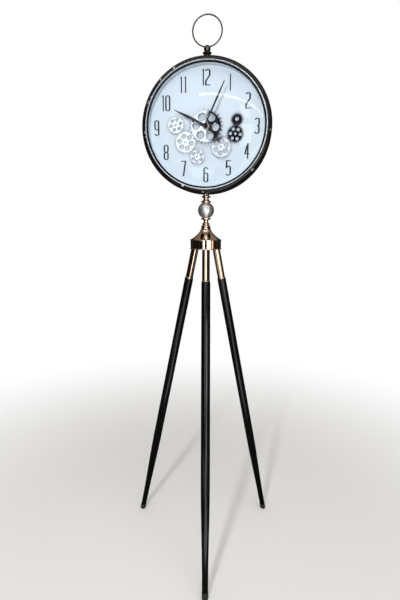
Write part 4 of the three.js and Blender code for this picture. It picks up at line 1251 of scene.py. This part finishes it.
for name in ("lower_left", "left", "bottom", "right"):
    headed_pin(f"gear_pin_{name}", f"gear_{name}", "head", head_radius)
headed_pin("gear_pin_upper_right", "gear_upper_right", "head", wide_head_radius)
headed_pin("motor_shaft", "gear_lower_right", "gear_lower_right", head_radius, footed=False)

# Hands
# Two slim leaf-shaped hands in gloss black, with sloping edges, on a brass bush and tube, and a turned
# cap at the front.
hand_black = mottled_finish(
    "hand_black",
    tint=(500, (0.006, 0.006, 0.007), (0.014, 0.014, 0.016)),
    shine=(600, 0.12, 0.24),
    coat=0.1,
    coat_roughness=0.08,
    specular=0.2,
)
turned_brass = polished_metal("bush_brass", (0.56, 0.47, 0.33), (0.42, 0.35, 0.24), 0.22, 0.36)
plain_steel = polished_metal("plain_steel", (0.50, 0.51, 0.53), (0.36, 0.37, 0.39), 0.26, 0.42)
dress(turned_brass, "movement_bush", "bush_nut", "hour_tube")
dress(plain_steel, "minute_arbor")
hand_thickness = 0.8 * mm
hand_edge = 0.3 * mm
hand_bore_edge = 0.1 * mm
waist_share = 0.28
hub_steps = 28


def hand_outline(length, width, hub, hip_share, tip_share):
    """A hand pointing up: a round hub, a narrow waist, hips at a share of its length, and its tip."""
    waist = width * waist_share
    start = math.asin(waist / hub)
    outline = [(-waist, math.sqrt(hub**2 - waist**2))]
    for angle in spread(math.pi / 2 + start, math.pi * 5 / 2 - start, hub_steps)[1:]:
        outline.append((hub * math.cos(angle), hub * math.sin(angle)))
    tip = width * tip_share / 2
    hip = length * hip_share
    return [*outline, (width / 2, hip), (tip, length), (-tip, length), (-width / 2, hip)]


def lay_hand(node, outline, hub, bore, clock_angle):
    """A hand stamped with its outline, turned to its angle, and the collet that holds it."""
    low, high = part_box(node)
    front = low.y + hand_thickness
    place = facing(axes[node], front) @ Matrix.Rotation(-clock_angle, 4, "Z")
    form = stamped(outline, [(0, 0, bore)], hand_thickness, hand_edge, hand_bore_edge, place)
    collet_radius = (hub + bore) / 2
    collet_outline = [
        (bore, 0),
        (collet_radius, 0, 0.2 * mm),
        (collet_radius, high.y - front),
        (bore, high.y - front),
    ]
    collet = turned(collet_outline, hole_sides, facing(axes[node], high.y), closed=True)
    collet_mesh = bpy.data.meshes.new("collet")
    collet.to_mesh(collet_mesh)
    collet.free()
    form.from_mesh(collet_mesh)
    bpy.data.meshes.remove(collet_mesh)
    set_piece(f"leaf_{node}", form, hand_black, node, node)


hour_hub = 6.2 * mm
minute_hub = 5.2 * mm
hour_bore = 3.6 * mm
minute_bore = 1.9 * mm
hour_leaf = hand_outline(93 * mm, 8.0 * mm, hour_hub, hip_share=0.56, tip_share=0.14)
minute_leaf = hand_outline(117 * mm, 5.2 * mm, minute_hub, hip_share=0.64, tip_share=0.42)
lay_hand("hour_hand", hour_leaf, hour_hub, hour_bore, math.radians(295.7))
lay_hand("minute_hand", minute_leaf, minute_hub, minute_bore, math.radians(24.9))
cap_low, cap_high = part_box("hand_cap")
cap_height = cap_high.y - cap_low.y
cap_radius = 3.4 * mm
cap_outline = [(0, 0), (cap_radius, 0, 0.3 * mm), (cap_radius, cap_height, 2.2 * mm), (0, cap_height)]
cap_form = turned(cap_outline, hole_sides, facing(axes["minute_hand"], cap_high.y))
set_piece("turned_cap", cap_form, hand_black, "minute_hand", "hand_cap")

# Works behind the dial
# A boxed battery movement with its setting knob and a boxed gear motor, moulded in plastic, each with
# one dry cell in an open bay.
works_plastic = mottled_finish(
    "works_plastic",
    tint=(260, (0.014, 0.014, 0.015), (0.026, 0.026, 0.028)),
    shine=(700, 0.38, 0.52),
    relief=(2400, 0.04 * mm, 1.0),
    specular=0.45,
)
knob_plastic = mottled_finish(
    "knob_plastic",
    tint=(260, (0.62, 0.61, 0.58), (0.54, 0.53, 0.50)),
    shine=(700, 0.36, 0.48),
)
cell_jacket = mottled_finish(
    "cell_jacket",
    tint=(240, (0.020, 0.080, 0.062), (0.028, 0.100, 0.078)),
    shine=(500, 0.22, 0.34),
)
dress(works_plastic, "movement", "gear_motor")
dress(knob_plastic, "setting_knob")
cell_radius = 7.1 * mm
cell_end_radius = 5.5 * mm
cell_shoulder_radius = 5.7 * mm
cell_button_radius = 2.7 * mm
cell_button_length = 1.2 * mm
for node in ("movement_cell", "motor_cell"):
    low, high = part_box(node)
    length = high.x - low.x
    middle = (low + high) / 2
    cell_outline = [
        (0, 0),
        (cell_end_radius, 0),
        (cell_radius, 0.4 * mm, 0.6 * mm),
        (cell_radius, length - 1.6 * mm, 0.8 * mm),
        (cell_shoulder_radius, length - cell_button_length),
        (cell_button_radius, length - cell_button_length),
        (cell_button_radius, length, 0.3 * mm),
        (0, length),
    ]
    place = Matrix.Translation((low.x, middle.y, middle.z)) @ Matrix.Rotation(math.pi / 2, 4, "Y")
    set_piece(f"dry_{node}", turned(cell_outline, leg_sides, place), cell_jacket, "head", node)

# Back cover
# A thin satin black disc with an opening behind each battery box. Three turned steel screws hold it to
# the case's flange.
cover_paint = mottled_finish(
    "cover_paint",
    tint=(120, (0.012, 0.012, 0.012), (0.022, 0.021, 0.020)),
    shine=(260, 0.36, 0.5),
    relief=(1100, 0.05 * mm, 1.0),
    specular=0.45,
)
dress(cover_paint, "back_cover")
screw_radius = 1.5 * mm
screw_head_radius = 3.3 * mm
screw_crown_radius = 2.0 * mm
screw_head_height = 1.9 * mm
screw_crown_height = 1.3 * mm
for index in (1, 2, 3):
    node = f"cover_screw_{index}"
    low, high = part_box(node)
    middle = (low + high) / 2
    length = high.y - low.y
    screw_outline = [
        (0, 0),
        (screw_radius, 0, 0.3 * mm),
        (screw_radius, length - screw_head_height),
        (screw_head_radius, length - screw_head_height, 0.2 * mm),
        (screw_head_radius, length - screw_crown_height, 0.6 * mm),
        (screw_crown_radius, length, 0.8 * mm),
        (0, length),
    ]
    place = Matrix.Translation((middle.x, low.y, middle.z)) @ Matrix.Rotation(-math.pi / 2, 4, "X")
    set_piece(f"turned_{node}", turned(screw_outline, hole_sides, place), plain_steel, "head", node)

# Rod, studs and nuts
# One threaded steel rod runs from under the hub into the case, with a nut at each end, and a steel
# stud holds each leg in the hub.
dress(plain_steel, "threaded_rod", "hub_nut", "case_nut", *(f"leg_stud_{name}" for name in leg_names))

# Pendant and bow
# A turned cup and ball in dark bronze on top of the case, and a round wire bow whose ends turn in the
# cross-drilled ball.
bow_bronze = mottled_finish(
    "bow_bronze",
    tint=(150, (0.20, 0.165, 0.145), (0.13, 0.105, 0.09)),
    shine=(320, 0.08, 0.16),
    metal=1.0,
)
cup_low, cup_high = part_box("pendant_cup")
cup_length = cup_high.z - cup_low.z
cup_spigot_length = 5 * mm
cup_spigot_radius = 5 * mm
cup_neck_radius = 7 * mm
cup_neck_length = 2.9 * mm
cup_bowl_radius = 11 * mm
cup_rim_radius = 12 * mm
cup_rim_low = cup_length - 2.6 * mm
cup_rim_high = cup_length - 0.9 * mm
pendant_sides = 64
cup_outline = [
    (0, 0),
    (cup_spigot_radius, 0),
    (cup_spigot_radius, cup_spigot_length),
    (cup_neck_radius, cup_spigot_length, 0.5 * mm),
    (cup_neck_radius, cup_spigot_length + cup_neck_length, 2.0 * mm),
    (cup_bowl_radius, cup_rim_low, 1.0 * mm),
    (cup_rim_radius, cup_rim_low, 0.6 * mm),
    (cup_rim_radius, cup_rim_high, 0.8 * mm),
    (cup_neck_radius, cup_length, 0.8 * mm),
    (0, cup_length),
]
cup_form = about_stem(cup_outline, cup_low.z, pendant_sides)
set_piece("turned_pendant_cup", cup_form, bow_bronze, "head", "pendant_cup")

knop_low, knop_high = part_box("pendant_ball")
knop_radius = 9 * mm
knop_steps = 24
knop_seat_radius = 4 * mm
knop_tip_radius = 1.7 * mm
knop_cut = math.asin(knop_seat_radius / knop_radius)
knop_tip = math.pi - math.asin(knop_tip_radius / knop_radius)
knop_flat = knop_radius * math.cos(knop_cut)
knop_outline = [
    (0, -knop_flat),
    *ball_side(knop_radius, knop_cut, knop_tip, knop_steps),
    (0, knop_high.z - knop_low.z - knop_flat),
]
knop_form = about_stem(knop_outline, knop_low.z + knop_flat, pendant_sides)
set_piece("turned_pendant_ball", knop_form, bow_bronze, "head", "pendant_ball")

wire_radius = 1.85 * mm
wire_sides = 20
bow_steps = 120
bow_radius = 38.45 * mm
bow_rise = 38 * mm
bow_gap = math.radians(7.4)
bow_form = bmesh.new()
wire = bmesh.ops.create_circle(bow_form, segments=wire_sides, radius=wire_radius, cap_ends=True)
wire_place = (
    Matrix.Rotation(bow_gap, 4, "Y")
    @ Matrix.Translation((0, 0, -bow_radius))
    @ Matrix.Rotation(math.pi / 2, 4, "Y")
)
bmesh.ops.transform(bow_form, matrix=wire_place, verts=wire["verts"])
bmesh.ops.spin(
    bow_form,
    geom=bow_form.verts[:] + bow_form.edges[:] + bow_form.faces[:],
    cent=(0, 0, 0),
    axis=(0, 1, 0),
    angle=2 * math.pi - 2 * bow_gap,
    steps=bow_steps,
    use_duplicate=False,
)
bmesh.ops.recalc_face_normals(bow_form, faces=bow_form.faces)
bow_place = Matrix.Translation(axes["bow"] + Vector((0, 0, bow_rise)))
bmesh.ops.transform(bow_form, matrix=bow_place, verts=bow_form.verts)
set_piece("wire_bow", bow_form, bow_bronze, "bow", "bow_ring")

# Glass
# A clear domed glass, flat across its crown and steep at its shoulders. It is formed in one piece, and
# its edge sits on the black ledge behind the bezel.
glass_low, glass_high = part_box("glass_dome")
glass_radius = glass_high.x - stem.x
glass_seat = case_middle.y - glass_high.y
glass_rise = glass_high.y - glass_low.y
glass_wall = 2 * mm
glass_tint = (0.975, 0.98, 0.985, 1.0)
glass_index = 1.30
most_mirrored = 0.6
dome_power = 2 / 3
glass_steps = 36


def dome_curve(radius, rise):
    """The dome's profile from its crown down to its seat, fuller at the shoulders than a round one."""
    points = [
        (radius * math.sin(angle) ** dome_power, glass_seat + rise * math.cos(angle) ** dome_power)
        for angle in spread(0, math.pi / 2, glass_steps)[1:-1]
    ]
    return [(0, glass_seat + rise), *points, (radius, glass_seat)]


clear_glass = bpy.data.materials.new("clear_glass")
tree = emptied(clear_glass)
where = feed(tree, "TexCoord").outputs["Object"]
polish = mottle(tree, where, 60.0, 0.0, 0.012)
mirror = feed(tree, "BsdfPrincipled", {"Metallic": 1.0, "Base Color": white, "Roughness": polish})
pane = feed(tree, "BsdfTransparent", {"Color": glass_tint})
outer_side = maths(tree, "SUBTRACT", 1.0, feed(tree, "NewGeometry").outputs["Backfacing"])
fresnel = feed(tree, "Fresnel", {"IOR": glass_index}).outputs[0]
shine = maths(tree, "MINIMUM", maths(tree, "MULTIPLY", fresnel, outer_side), most_mirrored)
both = feed(tree, "MixShader", {0: shine, 1: pane.outputs[0], 2: mirror.outputs[0]})
feed(tree, "OutputMaterial", {"Surface": both.outputs[0]})
glass_outline = [
    *dome_curve(glass_radius, glass_rise),
    *reversed(dome_curve(glass_radius - glass_wall, glass_rise - glass_wall)),
]
glass_form = about_dial(glass_outline, closed=False)
set_piece("domed_glass", glass_form, (clear_glass, "clear_glass"), "head", "glass_dome")
